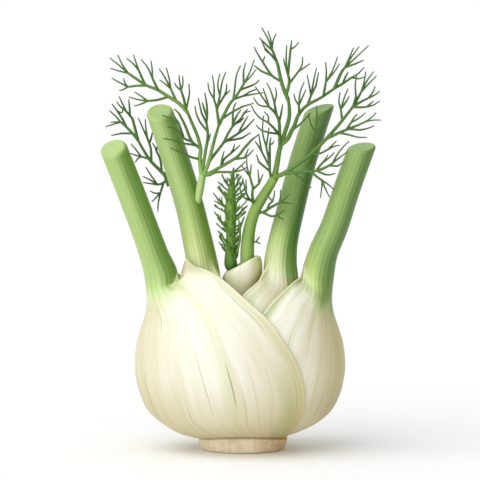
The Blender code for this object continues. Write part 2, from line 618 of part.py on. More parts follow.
def grow_courses(name):
    """Centre lines of a frond: its stem, its twigs, and the threads at their ends."""
    chance = random.Random(FROND_SEED)
    stem = [(Vector(row[:3]), row[3]) for row in STEMS[name]]
    branches = [stem]
    threads = []
    for end_depth, radius, course, tips in TWIGS[name]:
        start = nearest_on(branches, photo_point(*course[0], 0.0))
        twig = [(start, radius)]
        for index, pixel in enumerate(course[1:], start=1):
            share = index / (len(course) - 1)
            point = photo_point(*pixel, mix(start.y, end_depth, share))
            twig.append((point, mix(radius, mix(radius, THREAD_RADIUS, 0.8), share)))
        branches.append(twig)
        for pixel in tips:
            tip = photo_point(*pixel, end_depth + chance.uniform(-2.2, 2.2))
            back = twig[-1][0].lerp(twig[-2][0], 0.05)
            threads.append([(back, THREAD_RADIUS), (tip, TIP_RADIUS)])
    if name == "frond_young":
        threads += grow_sprigs(stem)
    return branches, threads


def grow_sprigs(stem):
    """The young frond's threads: they leave its axis by the golden angle and rise outwards."""
    threads = []
    low, high = SPRIG_REACH[0][0], SPRIG_REACH[-1][0]
    stations = [(centre.z, centre.x, centre.y) for centre, _ in stem]
    for index in range(SPRIG_COUNT):
        tip_height = mix(low, high, index / (SPRIG_COUNT - 1.0))
        reach = along(SPRIG_REACH, tip_height)[0]
        rise = SPRIG_RISE * (0.75 + 0.25 * math.cos(index * 2.0))
        turn = index * SPRIG_TURN
        root_x, root_y = along(stations, tip_height - rise)
        root = Vector((root_x, root_y, tip_height - rise))
        sideways = Vector((math.cos(turn), math.sin(turn) * 0.8, 0.0)) * reach
        course = [(root, THREAD_RADIUS)]
        for outwards, upwards, radius in ((0.62, 0.45, THREAD_RADIUS), (1.0, 1.0, TIP_RADIUS)):
            point = root + sideways * outwards + Vector((0, 0, rise * upwards))
            point.x = min(point.x, along(SPRIG_RIGHT_LIMIT, point.z)[0])
            course.append((point, radius))
        threads.append(course)
    return threads


def make_frond(name, colour):
    """A frond: its stem, joined in one body with all of its twigs and threads."""
    branches, threads = grow_courses(name)
    shoots = bpy.data.collections.new(name + "_shoots")
    bpy.context.scene.collection.children.link(shoots)
    for index, course in enumerate(branches[1:]):
        shoots.objects.link(tapered_tube(name + "_twig_%d" % index, course, 4))
    for index, course in enumerate(threads):
        shoots.objects.link(tapered_tube(name + "_thread_%d" % index, course, 3))
    frond = tapered_tube(name, branches[0], 8)
    bpy.context.scene.collection.objects.link(frond)
    union = frond.modifiers.new("join shoots", "BOOLEAN")
    union.operation = "UNION"
    union.operand_type = "COLLECTION"
    union.collection = shoots
    union.solver = "EXACT"
    depsgraph = bpy.context.evaluated_depsgraph_get()
    joined = bpy.data.meshes.new_from_object(frond.evaluated_get(depsgraph))
    frond.modifiers.clear()
    for shoot in list(shoots.objects):
        bpy.data.objects.remove(shoot, do_unlink=True)
    bpy.data.collections.remove(shoots)
    plain = frond.data
    frond.data = joined
    bpy.data.meshes.remove(plain)
    joined.name = name
    joined.materials.clear()
    joined.materials.append(skin(name, colour, 0.55))
    return frond


def main():
    """Build every piece in an emptied scene."""
    for existing in list(bpy.data.objects):
        bpy.data.objects.remove(existing, do_unlink=True)
    make_root_plate()
    for name in LAYERS:
        make_leaf(name, (0.80, 0.84, 0.62))
    make_heart_sheath()
    make_frond("frond_left", (0.20, 0.38, 0.12))
    make_frond("frond_left_back", (0.20, 0.38, 0.12))
    make_frond("frond_right", (0.24, 0.44, 0.13))
    make_frond("frond_young", (0.26, 0.50, 0.14))


main()
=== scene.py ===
"""Looks of a fennel bulb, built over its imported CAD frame.

Sizes in the sections are millimetres, and turn into metres where a mesh is made. Positions drawn over the
photograph are its pixels, 0.5 mm each.
"""
import math
import random

import bpy
import numpy as np
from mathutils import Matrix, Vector


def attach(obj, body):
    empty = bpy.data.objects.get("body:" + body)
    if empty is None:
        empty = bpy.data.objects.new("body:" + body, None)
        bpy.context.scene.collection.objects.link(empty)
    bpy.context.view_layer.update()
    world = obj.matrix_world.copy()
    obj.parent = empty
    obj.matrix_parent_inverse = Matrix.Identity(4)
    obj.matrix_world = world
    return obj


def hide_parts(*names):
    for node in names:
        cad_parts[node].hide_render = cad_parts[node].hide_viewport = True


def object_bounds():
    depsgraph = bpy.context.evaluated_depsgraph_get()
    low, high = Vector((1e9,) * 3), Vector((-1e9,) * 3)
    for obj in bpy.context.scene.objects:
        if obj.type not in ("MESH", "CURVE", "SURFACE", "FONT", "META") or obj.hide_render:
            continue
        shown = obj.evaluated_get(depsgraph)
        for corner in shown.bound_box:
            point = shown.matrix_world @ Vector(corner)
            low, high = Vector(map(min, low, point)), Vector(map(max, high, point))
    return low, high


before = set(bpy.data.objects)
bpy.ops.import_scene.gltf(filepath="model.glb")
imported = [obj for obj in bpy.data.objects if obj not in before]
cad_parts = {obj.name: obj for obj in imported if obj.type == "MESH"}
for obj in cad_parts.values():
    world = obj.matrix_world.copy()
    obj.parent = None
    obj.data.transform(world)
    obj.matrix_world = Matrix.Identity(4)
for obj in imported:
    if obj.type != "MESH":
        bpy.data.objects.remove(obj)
cad_box = [list(corner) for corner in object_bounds()]


# Outer left leaf
# The outermost leaf base with its stalk: one thick fleshy sheath round the bulb, cream where soil covered it
# and green above. It grew from the root plate, its free edge ends in a pointed lobe, and its top is cut off.
MM = 0.001
# the bulb's outline: height, x of its left and right edge, half depth
HULL = [
    (5.8, -22.5, 22.5, 18.5), (8, -30.5, 28.9, 24), (13, -39.3, 38.9, 30), (19.3, -46.5, 46.2, 34.6),
    (27.3, -50.5, 50.5, 38), (34.4, -52.6, 52.4, 39.8), (42.4, -53.5, 53.3, 40.5), (52.3, -52.6, 52.4, 39.8),
    (60, -50.8, 50.4, 37.6), (67, -48.5, 48, 34.2), (73, -47.3, 46.5, 30.5), (80, -47.5, 46.1, 25.6),
    (88, -48.6, 46.6, 20.6), (96, -50.8, 48.4, 16.8), (104, -53, 50.5, 14.5),
]
BASE_HEIGHT = 5.8
BASE_ARCH = 2.6
BASE_ARCH_REACH = 12.0
STEM_CONE_HEIGHT = 26.0
SHEATH_GAP = 0.9
MARGIN_THINNING = 0.45
MARGIN_GIRTH = 72.0
CUT_ROUNDING = 1.6
CUT_REACH = 14.0
SEAM_WIDTH = math.radians(12)
# the lobe of the free edge: x, and how far the edge rises there
LOBE = [
    (-30.3, 0), (-29.7, 2.4), (-29.1, 4.8), (-28.3, 7.8), (-27.5, 9.4), (-26.8, 8.9), (-25, 7.0),
    (-22.3, 4.7), (-17, 2.6), (-12.5, 0.5), (-8, 0),
]
LOBE_HEIGHT = 9.4
LOBE_FOOT = 66.0
LOBE_BASE = 86.0
LOBE_THINNING = 0.3
# steps of the columns next to a free edge, and shares of the rings that close a cut end
LIP_STEPS = [0.0, 0.0008, 0.003, 0.0065, 0.011, 0.017, 0.025]
INNER_COLUMNS = 56
BROAD_RIBS = 11.0
FINE_RIBS = 27.0
SHEATH_RIB = 0.05
STALK_RIB = 0.09
WAVE = 0.12
CUT_RINGS = (0.97, 0.92, 0.84, 0.72, 0.58, 0.42, 0.26, 0.1)
CUT_DISH = 0.35
CUT_UV_PLACE = 3.0
MID_ROW = 60
MID_BULB = np.array([0.0, 0.0, 42.0])
sheaths = []


def ease(value):
    """Ease from 0 to 1."""
    value = np.clip(value, 0.0, 1.0)
    return value * value * (3.0 - 2.0 * value)


def mix(first, second, share):
    """Blend two values."""
    return first + (second - first) * share


def along(stations, key):
    """Smooth curves through stations, read at an array of keys; the first number of a station is its key."""
    table = np.array(stations, dtype=float)
    keys = table[:, 0]
    last = len(keys) - 1
    key = np.clip(np.asarray(key, dtype=float), keys[0], keys[-1])
    start = np.clip(np.searchsorted(keys, key, side="right") - 1, 0, last - 1)
    before = np.maximum(start - 1, 0)
    after = np.minimum(start + 2, last)
    span = keys[start + 1] - keys[start]
    t = ((key - keys[start]) / span)[..., None]
    first, second = table[start, 1:], table[start + 1, 1:]
    slope_in = (second - table[before, 1:]) / (keys[start + 1] - keys[before])[..., None] * span[..., None]
    slope_out = (table[after, 1:] - first) / (keys[after] - keys[start])[..., None] * span[..., None]
    values = (2 * t**3 - 3 * t**2 + 1) * first + (t**3 - 2 * t**2 + t) * slope_in
    values += (3 * t**2 - 2 * t**3) * second + (t**3 - t**2) * slope_out
    return np.moveaxis(values, -1, 0)


def bulb_ring(level, height, gap=0.0):
    """Edges, depth and their heights of the form left inside the first `level` sheaths."""
    left, right, depth = along(HULL, height)
    inset = {-1: gap, 1: gap, 0: gap}
    for side, thickness in sheaths[:level]:
        at_side, at_front = along(thickness, height)
        inset[side] = inset[side] + at_side
        inset[0] = inset[0] + at_front
    lift = np.maximum(0.0, STEM_CONE_HEIGHT - height)
    slope = lift / np.hypot(lift, 0.5 * (right - left))
    inward = np.sqrt(1.0 - slope * slope)
    left, left_height = left + inset[-1] * inward, height + inset[-1] * slope
    right, right_height = right - inset[1] * inward, height + inset[1] * slope
    return left, left_height, right, right_height, depth - inset[0] * inward, height + inset[0] * slope


def bulb_point(level, height, angle, gap=0.0):
    """Points of that form; the angle runs from the right side over the front."""
    left, left_height, right, right_height, depth, front_height = bulb_ring(level, height, gap)
    side_height = mix(left_height, right_height, 0.5 * (1.0 + np.cos(angle)))
    arch = BASE_ARCH * (1.0 - ease((height - BASE_HEIGHT) / BASE_ARCH_REACH))
    return np.stack([
        0.5 * (left + right) + 0.5 * (right - left) * np.cos(angle),
        -depth * np.sin(angle),
        mix(side_height, front_height + arch, np.sin(angle) ** 2),
    ], axis=-1)


def edge_angle(level, height, x, front):
    """The angle at which the form's edge passes a given x."""
    left, _, right, _, _, _ = bulb_ring(level, height)
    angle = np.arccos(np.clip((x - 0.5 * (left + right)) / (0.5 * (right - left)), -0.98, 0.98))
    return np.where(front, angle, -angle)


def unit(vectors):
    """Vectors of length 1."""
    return vectors / np.linalg.norm(vectors, axis=-1, keepdims=True)


def lobe_lift(points):
    """How far the lobe raises points of the outermost leaf."""
    return along(LOBE, points[..., 0])[0] * ease((points[..., 2] - LOBE_FOOT) / (LOBE_BASE - LOBE_FOOT))


def lobe_points(level, points, front):
    """Points raised into the lobe, on the same form."""
    lift = np.where(front, lobe_lift(points), 0.0)
    height = points[..., 2] + lift
    raised = bulb_point(level, height, edge_angle(level, height, points[..., 0], front))
    return np.where(lift[..., None] > 0.0, raised, points)


def leaf_faces(leaf, height, t, shrink):
    """Outer and inner points of a leaf; t runs from -1 at the back margin to 1 at the front one."""
    side, level = leaf["side"], leaf["level"]
    share = np.abs(t)
    front = t >= 0
    ahead, behind = along(leaf["front_margin"], height), along(leaf["back_margin"], height)
    margin_x, margin_z = np.where(front, ahead, behind)
    row_height = height + (margin_z - height) * share**2
    middle = math.pi if side < 0 else 0.0
    turn = np.where(front, 0.0, 2.0 * math.pi if side < 0 else 0.0)
    outer_edge = edge_angle(level, margin_z, margin_x, front) + turn
    inner_edge = edge_angle(level + 1, margin_z, margin_x, front) + turn
    outer = bulb_point(level, row_height, mix(middle, outer_edge, share), SHEATH_GAP if level else 0.0)
    inner = bulb_point(level + 1, row_height, mix(middle, inner_edge, share))
    thinning = MARGIN_THINNING * ease((share - 0.7) / 0.3)
    if level == 0:
        thinning = thinning + LOBE_THINNING * np.where(front, lobe_lift(outer), 0.0) / LOBE_HEIGHT
        outer, inner = lobe_points(0, outer, front), lobe_points(1, inner, front)
    outer = mix(outer, inner, thinning[..., None])

    # the free edge is a rounded lip
    lip = 0.5 * np.linalg.norm(outer - inner, axis=-1)
    reach = np.clip((1.0 - share) * MARGIN_GIRTH / np.maximum(lip, 0.4), 0.0, 1.0)
    rounding = np.maximum(0.15, np.sqrt(1.0 - (1.0 - reach) ** 2))[..., None]
    middle_skin = 0.5 * (outer + inner)
    outer = mix(middle_skin, outer, rounding)
    inner = mix(middle_skin, inner, rounding)

    # above the shoulder the sheath closes in to the stalk
    centre, out, forward, up, width, depth = leaf_stalk(leaf, height)
    seam_front, seam_back = leaf["seams"]
    around = t * np.where(front, seam_front, seam_back)
    half_turn = math.pi - SEAM_WIDTH - 0.5 * (seam_front + seam_back)
    inside = math.pi + 0.5 * (seam_front - seam_back) - t * half_turn
    near_cut = ease((height - leaf["stalk"][-1][0] + CUT_REACH) / CUT_REACH)
    rise_out, rise_back = leaf["cut"]
    points = []
    for face, angle, spread in ((outer, around, 3.0), (inner, inside, 1.2)):
        across = (0.5 * width - shrink) * np.cos(angle)
        ahead = (0.5 * depth - shrink) * np.sin(angle)
        slant = near_cut * (rise_out * across - rise_back * ahead)
        stalk = centre + out * across[..., None] + forward * ahead[..., None] + up * slant[..., None]
        points.append(mix(face, stalk, leaf_closing(leaf, height, share**spread)[..., None]))
    return points


def leaf_stalk(leaf, height):
    """Centre, directions and widths of the stalk's section."""
    stations = leaf["stalk"]
    x, y, width, depth = along(stations, height)
    lower, upper = along(stations, height - 1.0), along(stations, height + 1.0)
    rise = np.minimum(stations[-1][0], height + 1.0) - (height - 1.0)
    up = unit(np.stack([upper[0] - lower[0], upper[1] - lower[1], rise], axis=-1))
    forward = np.zeros_like(up)
    forward[..., 1] = -1.0
    forward = unit(forward - up * np.sum(forward * up, axis=-1, keepdims=True))
    out = unit(np.cross(forward, up))
    out = np.where(out[..., :1] * leaf["side"] < 0, -out, out)
    return np.stack([x, y, height], axis=-1), out, forward, up, width, depth


def leaf_closing(leaf, height, edge_share):
    """How far the leaf has closed in from sheath to stalk; the margins close in last."""
    mid_low, mid_high, edge_low, edge_high = leaf["shoulders"]
    low = mix(mid_low, edge_low, edge_share)
    return ease((height - low) / (mix(mid_high, edge_high, edge_share) - low))


def surface_normals(grid):
    """Normals of a grid of points, by its rows and columns."""
    down = np.gradient(grid, axis=0)
    across = np.gradient(grid, axis=1)
    normal = np.cross(across, down)
    return normal / np.maximum(np.linalg.norm(normal, axis=-1, keepdims=True), 1e-9)


def lip_columns(count):
    """Values from -1 to 1, with finer steps at both free edges."""
    inner_end = 1.0 - LIP_STEPS[-1]
    even = np.linspace(-inner_end, inner_end, count)
    fine = 1.0 - np.array(LIP_STEPS[:-1])
    return np.concatenate([-fine, even, fine[::-1]])


def finish_piece(name, points, faces, materials, slots=None, uv=None, fields=None):
    """A piece whose mesh is kept inside the CAD box, with its UV map, fields and smooth shading."""
    inside = np.clip(np.asarray(points) * MM, *cad_box)
    mesh = bpy.data.meshes.new(name)
    mesh.from_pydata(inside.tolist(), [], faces)
    for material in materials:
        mesh.materials.append(material)
    if slots is not None:
        mesh.polygons.foreach_set("material_index", np.asarray(slots, dtype=np.int32))
    if uv is not None:
        corners = np.empty(len(mesh.loops), dtype=np.int32)
        mesh.loops.foreach_get("vertex_index", corners)
        layer = mesh.uv_layers.new(name="UVMap")
        layer.uv.foreach_set("vector", np.asarray(uv, dtype=np.float32)[corners].ravel())
    for label, values in (fields or {}).items():
        attribute = mesh.attributes.new(label, "FLOAT", "POINT")
        attribute.data.foreach_set("value", np.asarray(values, dtype=np.float32))
    mesh.update()
    mesh.shade_smooth()
    mark_flank_shade(mesh)
    piece = bpy.data.objects.new(name, mesh)
    bpy.context.scene.collection.objects.link(piece)
    return piece


def mark_flank_shade(mesh):
    """Store how far each point faces the right, from 0 to 1, as the mask for painted flank shade."""
    normals = np.empty(len(mesh.vertices) * 3, dtype=np.float32)
    mesh.vertex_normals.foreach_get("vector", normals)
    attribute = mesh.attributes.new("flank_shade", "FLOAT", "POINT")
    attribute.data.foreach_set("value", 0.5 + 0.5 * normals[::3])


def ring_quads(rows, size):
    """Quads between rings of points."""
    quads = []
    for row in range(rows - 1):
        for column in range(size):
            a, b = row * size + column, row * size + (column + 1) % size
            quads.append((a, b, b + size, a + size))
    return quads


def make_leaf(name, leaf, skin, cut_flesh):
    """A leaf as one closed skin: outer face, inner face, rounded lips, base and cut end."""
    top = leaf["stalk"][-1][0]
    turns = np.linspace(0.0, 0.5 * math.pi, 7)[1:]
    even = np.linspace(BASE_HEIGHT, top - CUT_ROUNDING, leaf["rows"])
    even = np.sort(np.concatenate([even, leaf.get("more_rows", [])]))
    heights = np.concatenate([even, top - CUT_ROUNDING * (1.0 - np.sin(turns))])
    shrink = np.concatenate([np.zeros(len(even)), CUT_ROUNDING * (1.0 - np.cos(turns))])
    outer_t, inner_t = lip_columns(leaf["columns"]), lip_columns(INNER_COLUMNS)
    grids = []
    for which, t in ((0, outer_t), (1, inner_t)):
        height_grid, t_grid = np.meshgrid(heights, t, indexing="ij")
        shrink_grid = np.repeat(shrink[:, None], len(t), axis=1)
        grids.append(leaf_faces(leaf, height_grid, t_grid, shrink_grid)[which])
    outer, inner = grids

    # fine lengthwise ribs are pressed in between ridges, deeper on the stalk
    height_grid, t_grid = np.meshgrid(heights, outer_t, indexing="ij")
    closing = leaf_closing(leaf, height_grid, np.abs(t_grid) ** 3)
    phase = leaf["phase"]
    wander = 0.3 * np.sin(5.0 * t_grid + phase)
    ribs = 0.5 - 0.5 * np.cos(2 * math.pi * (BROAD_RIBS * t_grid + wander) + phase)
    fine = 0.5 - 0.5 * np.cos(2 * math.pi * FINE_RIBS * t_grid + 2.0 * np.sin(9.0 * t_grid))
    waves = 0.5 + 0.5 * np.sin(0.11 * height_grid + 6.0 * t_grid + phase) * np.sin(3.0 * t_grid - phase)
    strength = mix(SHEATH_RIB * ease((height_grid - 12.0) / 40.0), STALK_RIB, closing)
    strength = strength * ease((1.0 - np.abs(t_grid)) / 0.08) * ease((top - height_grid) / 3.0)
    pressed = strength * (0.7 * ribs + 0.3 * fine)
    pressed = pressed + WAVE * waves * (1.0 - closing) * ease((height_grid - 8) / 20)
    pressed = pressed * ease((1.0 - np.abs(t_grid)) / 0.05)
    normals = surface_normals(outer)
    middle = (MID_ROW, len(outer_t) // 2)
    if np.dot(normals[middle], outer[middle] - MID_BULB) < 0:
        normals = -normals
    outer = outer - normals * pressed[..., None]

    ring = np.concatenate([outer, inner[:, ::-1]], axis=1)
    rows, size = ring.shape[:2]
    points = list(ring.reshape(-1, 3))
    ring_t = np.concatenate([outer_t, inner_t[::-1]])
    is_inner = np.concatenate([np.zeros(len(outer_t)), np.ones(len(inner_t))])
    t_all, height_all = np.tile(ring_t, rows), np.repeat(heights, size)
    inner_all = np.tile(is_inner, rows)
    faces = ring_quads(rows, size)
    slots = [0] * len(faces)

    # base: zip the outer edge to the inner one
    i, j = 0, size - 1
    while i < len(outer_t) - 1 or j > len(outer_t):
        step_outer = j == len(outer_t) or (i < len(outer_t) - 1 and ring_t[i + 1] <= ring_t[j - 1])
        if step_outer:
            faces.append((i + 1, i, j))
            i += 1
        else:
            faces.append((i, j, j - 1))
            j -= 1
        slots.append(0)

    # cut end: rings that close in on its middle, slightly dished
    last = (rows - 1) * size
    rim = ring[-1]
    middle = rim.mean(axis=0)
    _, out, forward, up, _, _ = leaf_stalk(leaf, np.array(top))
    uv = np.stack([t_all * 0.45 + 0.5, height_all / 100.0], axis=-1)
    uv[:, 0] += inner_all * 1.3
    uv_all = list(uv)
    previous = last
    for share in CUT_RINGS:
        ring_start = len(points)
        for corner in rim:
            run = (corner - middle) * share - up * CUT_DISH * (1.0 - share**4)
            points.append(middle + run)
            uv_all.append(np.array([np.dot(run, out), np.dot(run, forward)]) / 20.0 + CUT_UV_PLACE)
        for column in range(size):
            a, b = previous + column, previous + (column + 1) % size
            c, d = ring_start + (column + 1) % size, ring_start + column
            faces.append((a, b, c, d))
            slots.append(1)
        previous = ring_start
    points.append(middle - up * CUT_DISH)
    uv_all.append(np.full(2, CUT_UV_PLACE))
    for column in range(size):
        faces.append((previous + column, previous + (column + 1) % size, len(points) - 1))
        slots.append(1)
    if leaf["side"] > 0:
        faces = [tuple(reversed(face)) for face in faces]

    # how green each point is: the stalk and its shoulder are, the sheath and its lobe aren't
    share = np.abs(t_all)
    low, high, edge_low, edge_high = leaf["green"]
    start = mix(low, edge_low, share**2)
    green = np.clip((height_all - start) / (mix(high, edge_high, share**2) - start), 0.0, 1.0)
    edge = (1.0 - t_all) * MARGIN_GIRTH
    added = len(points) - len(green)
    fields = {
        "green": np.concatenate([green, np.ones(added)]),
        "edge": np.concatenate([edge, np.full(added, 50.0)]),
    }
    return finish_piece(name, points, faces, [skin, cut_flesh], slots, uv_all, fields)


def srgb(code):
    """A colour from its six-digit code, as linear values."""
    parts = [int(code[i:i + 2], 16) / 255.0 for i in (0, 2, 4)]
    return tuple(p / 12.92 if p <= 0.04045 else ((p + 0.055) / 1.055) ** 2.4 for p in parts) + (1.0,)


def feed(tree, socket, value):
    """Link a socket, or set a plain value or a colour code."""
    if isinstance(value, bpy.types.NodeSocket):
        tree.links.new(value, socket)
    else:
        socket.default_value = srgb(value) if socket.type == "RGBA" else value


def add(tree, kind, inputs=None, **settings):
    """A node with its settings, and its inputs fed by name or number."""
    node = tree.nodes.new(kind)
    for name, value in settings.items():
        setattr(node, name, value)
    for name, value in (inputs or {}).items():
        feed(tree, node.inputs[name], value)
    return node


def calc(tree, operation, *values, clamp=False):
    """A math node on sockets or plain values."""
    inputs = dict(enumerate(values))
    return add(tree, "ShaderNodeMath", inputs, operation=operation, use_clamp=clamp).outputs[0]


def times(tree, *values):
    """The product of sockets and plain values."""
    product = values[0]
    for value in values[1:]:
        product = calc(tree, "MULTIPLY", product, value)
    return product


def tint(tree, colour, code, *shares, mode="MULTIPLY"):
    """A colour mixed with a colour code, as far as the product of the shares."""
    inputs = {0: times(tree, *shares), 6: colour, 7: code}
    return add(tree, "ShaderNodeMix", inputs, data_type="RGBA", blend_type=mode).outputs[2]


def between(tree, value, low, high):
    """0 below low, 1 above high, and eased between them; low may be the larger."""
    ends = {"From Min": min(low, high), "From Max": max(low, high)}
    results = {"To Min": float(low > high), "To Max": float(low < high)}
    inputs = {"Value": value, **ends, **results}
    return add(tree, "ShaderNodeMapRange", inputs, interpolation_type="SMOOTHSTEP").outputs["Result"]


def ramp(tree, value, stops):
    """A colour ramp of (place, colour code)."""
    node = add(tree, "ShaderNodeValToRGB", {"Fac": value})
    elements = node.color_ramp.elements
    elements[0].position, elements[0].color = stops[0][0], srgb(stops[0][1])
    elements[1].position, elements[1].color = stops[-1][0], srgb(stops[-1][1])
    for place, code in stops[1:-1]:
        elements.new(place).color = srgb(code)
    return node.outputs["Color"]


def make_strokes():
    """Shader group: thin tapered strokes that run lengthwise on a leaf, along V of its UV map."""
    tree = bpy.data.node_groups.new("Lengthwise strokes", "ShaderNodeTree")
    tree.interface.new_socket("Vector", in_out="INPUT", socket_type="NodeSocketVector")
    for name in ("Columns", "Rows", "Width", "Cover", "Seed"):
        tree.interface.new_socket(name, in_out="INPUT", socket_type="NodeSocketFloat")
    tree.interface.new_socket("Strokes", in_out="OUTPUT", socket_type="NodeSocketFloat")
    given = add(tree, "NodeGroupInput").outputs
    split = add(tree, "ShaderNodeSeparateXYZ", {0: given["Vector"]}).outputs

    # each column of the skin has its own start, each stroke in it its own place, length and width
    across = calc(tree, "MULTIPLY", split["X"], given["Columns"])
    column = calc(tree, "FLOOR", across)
    column_key = add(tree, "ShaderNodeCombineXYZ", {"X": column, "Y": given["Seed"]}).outputs[0]
    column_luck = add(tree, "ShaderNodeTexWhiteNoise", {"Vector": column_key}, noise_dimensions="2D")
    start = calc(tree, "MULTIPLY", column_luck.outputs["Value"], 7.3)
    upwards = calc(tree, "MULTIPLY_ADD", split["Y"], given["Rows"], start)
    row = calc(tree, "FLOOR", upwards)
    inside_row = calc(tree, "SUBTRACT", calc(tree, "FRACT", upwards), 0.5)
    stroke_key = add(tree, "ShaderNodeCombineXYZ", {"X": column, "Y": row, "Z": given["Seed"]}).outputs[0]
    stroke_luck = add(tree, "ShaderNodeTexWhiteNoise", {"Vector": stroke_key}).outputs
    luck = add(tree, "ShaderNodeSeparateColor", {0: stroke_luck["Color"]})
    place_luck, length_luck, width_luck = luck.outputs

    # it tapers to both ends, leans a little, and some are left out
    off = calc(tree, "DIVIDE", inside_row, calc(tree, "MULTIPLY_ADD", length_luck, 0.30, 0.17))
    taper = calc(tree, "MULTIPLY_ADD", calc(tree, "MULTIPLY", off, off), -1.0, 1.0, clamp=True)
    width = calc(tree, "MULTIPLY", taper, calc(tree, "MULTIPLY_ADD", width_luck, 0.6, 0.4))
    width = calc(tree, "MULTIPLY_ADD", width, given["Width"], 0.0005)
    lean = calc(tree, "MULTIPLY", inside_row, calc(tree, "MULTIPLY_ADD", width_luck, 0.3, -0.15))
    middle = calc(tree, "ADD", calc(tree, "MULTIPLY_ADD", place_luck, 0.5, 0.25), lean)
    apart = calc(tree, "DIVIDE", calc(tree, "SUBTRACT", calc(tree, "FRACT", across), middle), width)
    line = calc(tree, "MULTIPLY_ADD", calc(tree, "MULTIPLY", apart, apart), -1.0, 1.0, clamp=True)
    kept = calc(tree, "LESS_THAN", stroke_luck["Value"], given["Cover"])
    line = times(tree, line, calc(tree, "MULTIPLY", taper, 3.0, clamp=True), kept)
    add(tree, "NodeGroupOutput", {"Strokes": line})
    return tree


def noise(tree, vector, scale, detail):
    """Cloudy noise."""
    inputs = {"Vector": vector, "Scale": scale, "Detail": detail}
    return add(tree, "ShaderNodeTexNoise", inputs).outputs["Fac"]


def bands(tree, uv, columns, rows, seed):
    """Soft bands that run lengthwise."""
    shift, scale = (seed * 3.7, seed * 1.9, seed), (columns, rows, 1.0)
    place = add(tree, "ShaderNodeMapping", {"Vector": uv, "Location": shift, "Scale": scale})
    return noise(tree, place.outputs[0], 1.0, 1.5)


def field(tree, name):
    """A field stored on the mesh."""
    return add(tree, "ShaderNodeAttribute", attribute_name=name).outputs["Fac"]


def new_skin(name, roughness, softness=0.0, reach=0.004, scale=0.5):
    """A material as its node tree, its shader and itself; light sinks in as far as it is soft."""
    material = bpy.data.materials.new(name)
    material.use_nodes = True
    tree = material.node_tree
    shader = tree.nodes["Principled BSDF"]
    shader.inputs["Roughness"].default_value = roughness
    shader.inputs["Subsurface Weight"].default_value = softness
    shader.inputs["Subsurface Radius"].default_value = (reach, reach, 0.5 * reach)
    shader.inputs["Subsurface Scale"].default_value = scale
    return tree, shader, material


def uv_place(tree):
    """Place on the UV map."""
    return add(tree, "ShaderNodeUVMap", uv_map="UVMap").outputs["UV"]


def own_place(tree):
    """Place on the object, in metres."""
    return add(tree, "ShaderNodeTexCoord").outputs["Object"]


# soft bands: columns, rows, where the noise starts and ends to show, colour and share
BANDS = [
    (15.0, 0.9, 0.5, 0.72, "e4ebc8", 0.5), (42.0, 1.4, 0.5, 0.75, "ded8b6", 0.3),
    (120.0, 2.6, 0.42, 0.75, "d3d8ae", 0.16),
]
# strokes: columns, rows, width, cover, shift of the seed, colour, share and kind of mix
STROKES = [
    (31.0, 1.9, 0.16, 0.6, 0.0, "fffdf2", 0.25, "SCREEN"),
    (37.0, 1.7, 0.08, 0.7, 11.0, "c6c795", 0.28, "MULTIPLY"),
    (19.0, 2.1, 0.042, 0.5, 23.0, "8f9a5c", 0.75, "MULTIPLY"),
]
stroke_group = make_strokes()


def leaf_skin(name, codes, flank_shade, seed, sheath_flank_shade="d9cba4", sheath_shade_start=0.38, rim_colour="e2e4b8"):
    """Cream sheath that turns green towards the stalk, with strokes and bands along its veins, and painted
    shade.
    """
    tree, shader, material = new_skin(name, 0.42, 0.12)
    green, edge, facing, uv = field(tree, "green"), field(tree, "edge"), field(tree, "flank_shade"), uv_place(tree)

    # the green runs down in streaks of different lengths
    ragged = calc(tree, "MULTIPLY_ADD", bands(tree, uv, 26.0, 1.1, seed), 0.64, -0.32)
    ragged = calc(tree, "ADD", green, ragged, clamp=True)
    greenness = times(tree, ragged, calc(tree, "MULTIPLY", green, 6.0, clamp=True))
    colour = ramp(tree, greenness, list(zip((0.0, 0.25, 0.5, 0.75, 1.0), codes)))
    sheath = between(tree, greenness, 0.45, 0.05)

    # soft bands, from broad to fine
    for step, (columns, rows, low, high, code, share) in enumerate(BANDS, start=1):
        band = between(tree, bands(tree, uv, columns, rows, seed + step), low, high)
        colour = tint(tree, colour, code, band, share)

    # pale green and yellow along the free edge, behind a light lip
    near = times(tree, between(tree, edge, 2.0, 6.0), between(tree, edge, 19.0, 9.0))
    patch = between(tree, bands(tree, uv, 14.0, 1.6, seed + 4.0), 0.42, 0.62)
    colour = tint(tree, colour, "cfdcae", near, patch, sheath, 0.6)
    rim = times(tree, between(tree, edge, 0.4, 1.6), between(tree, edge, 7.0, 2.5))
    colour = tint(tree, colour, rim_colour, rim, sheath, 0.55)

    # thin strokes: light ones, faint ones and a few dark ones
    for columns, rows, width, cover, shift, code, share, mode in STROKES:
        inputs = {"Vector": uv, "Columns": columns, "Rows": rows, "Width": width, "Cover": cover}
        inputs["Seed"] = seed + shift
        stroke = add(tree, "ShaderNodeGroup", inputs, node_tree=stroke_group).outputs["Strokes"]
        colour = tint(tree, colour, code, stroke, share, mode=mode)

    # painted shade: beige low on the bulb and on both flanks of the sheath, deeper green on the right of the
    # stalk
    height = add(tree, "ShaderNodeSeparateXYZ", {0: own_place(tree)}).outputs["Z"]
    colour = tint(tree, colour, "d8cca6", between(tree, height, 0.045, 0.004), 0.9)
    colour = tint(tree, colour, "e6e0c8", between(tree, facing, 0.42, 0.0), sheath)
    colour = tint(tree, colour, sheath_flank_shade, between(tree, facing, sheath_shade_start, 0.96), sheath)
    leafy = calc(tree, "SUBTRACT", 1.0, sheath, clamp=True)
    colour = tint(tree, colour, flank_shade, between(tree, facing, 0.32, 0.88), leafy)
    feed(tree, shader.inputs["Base Color"], colour)
    return material


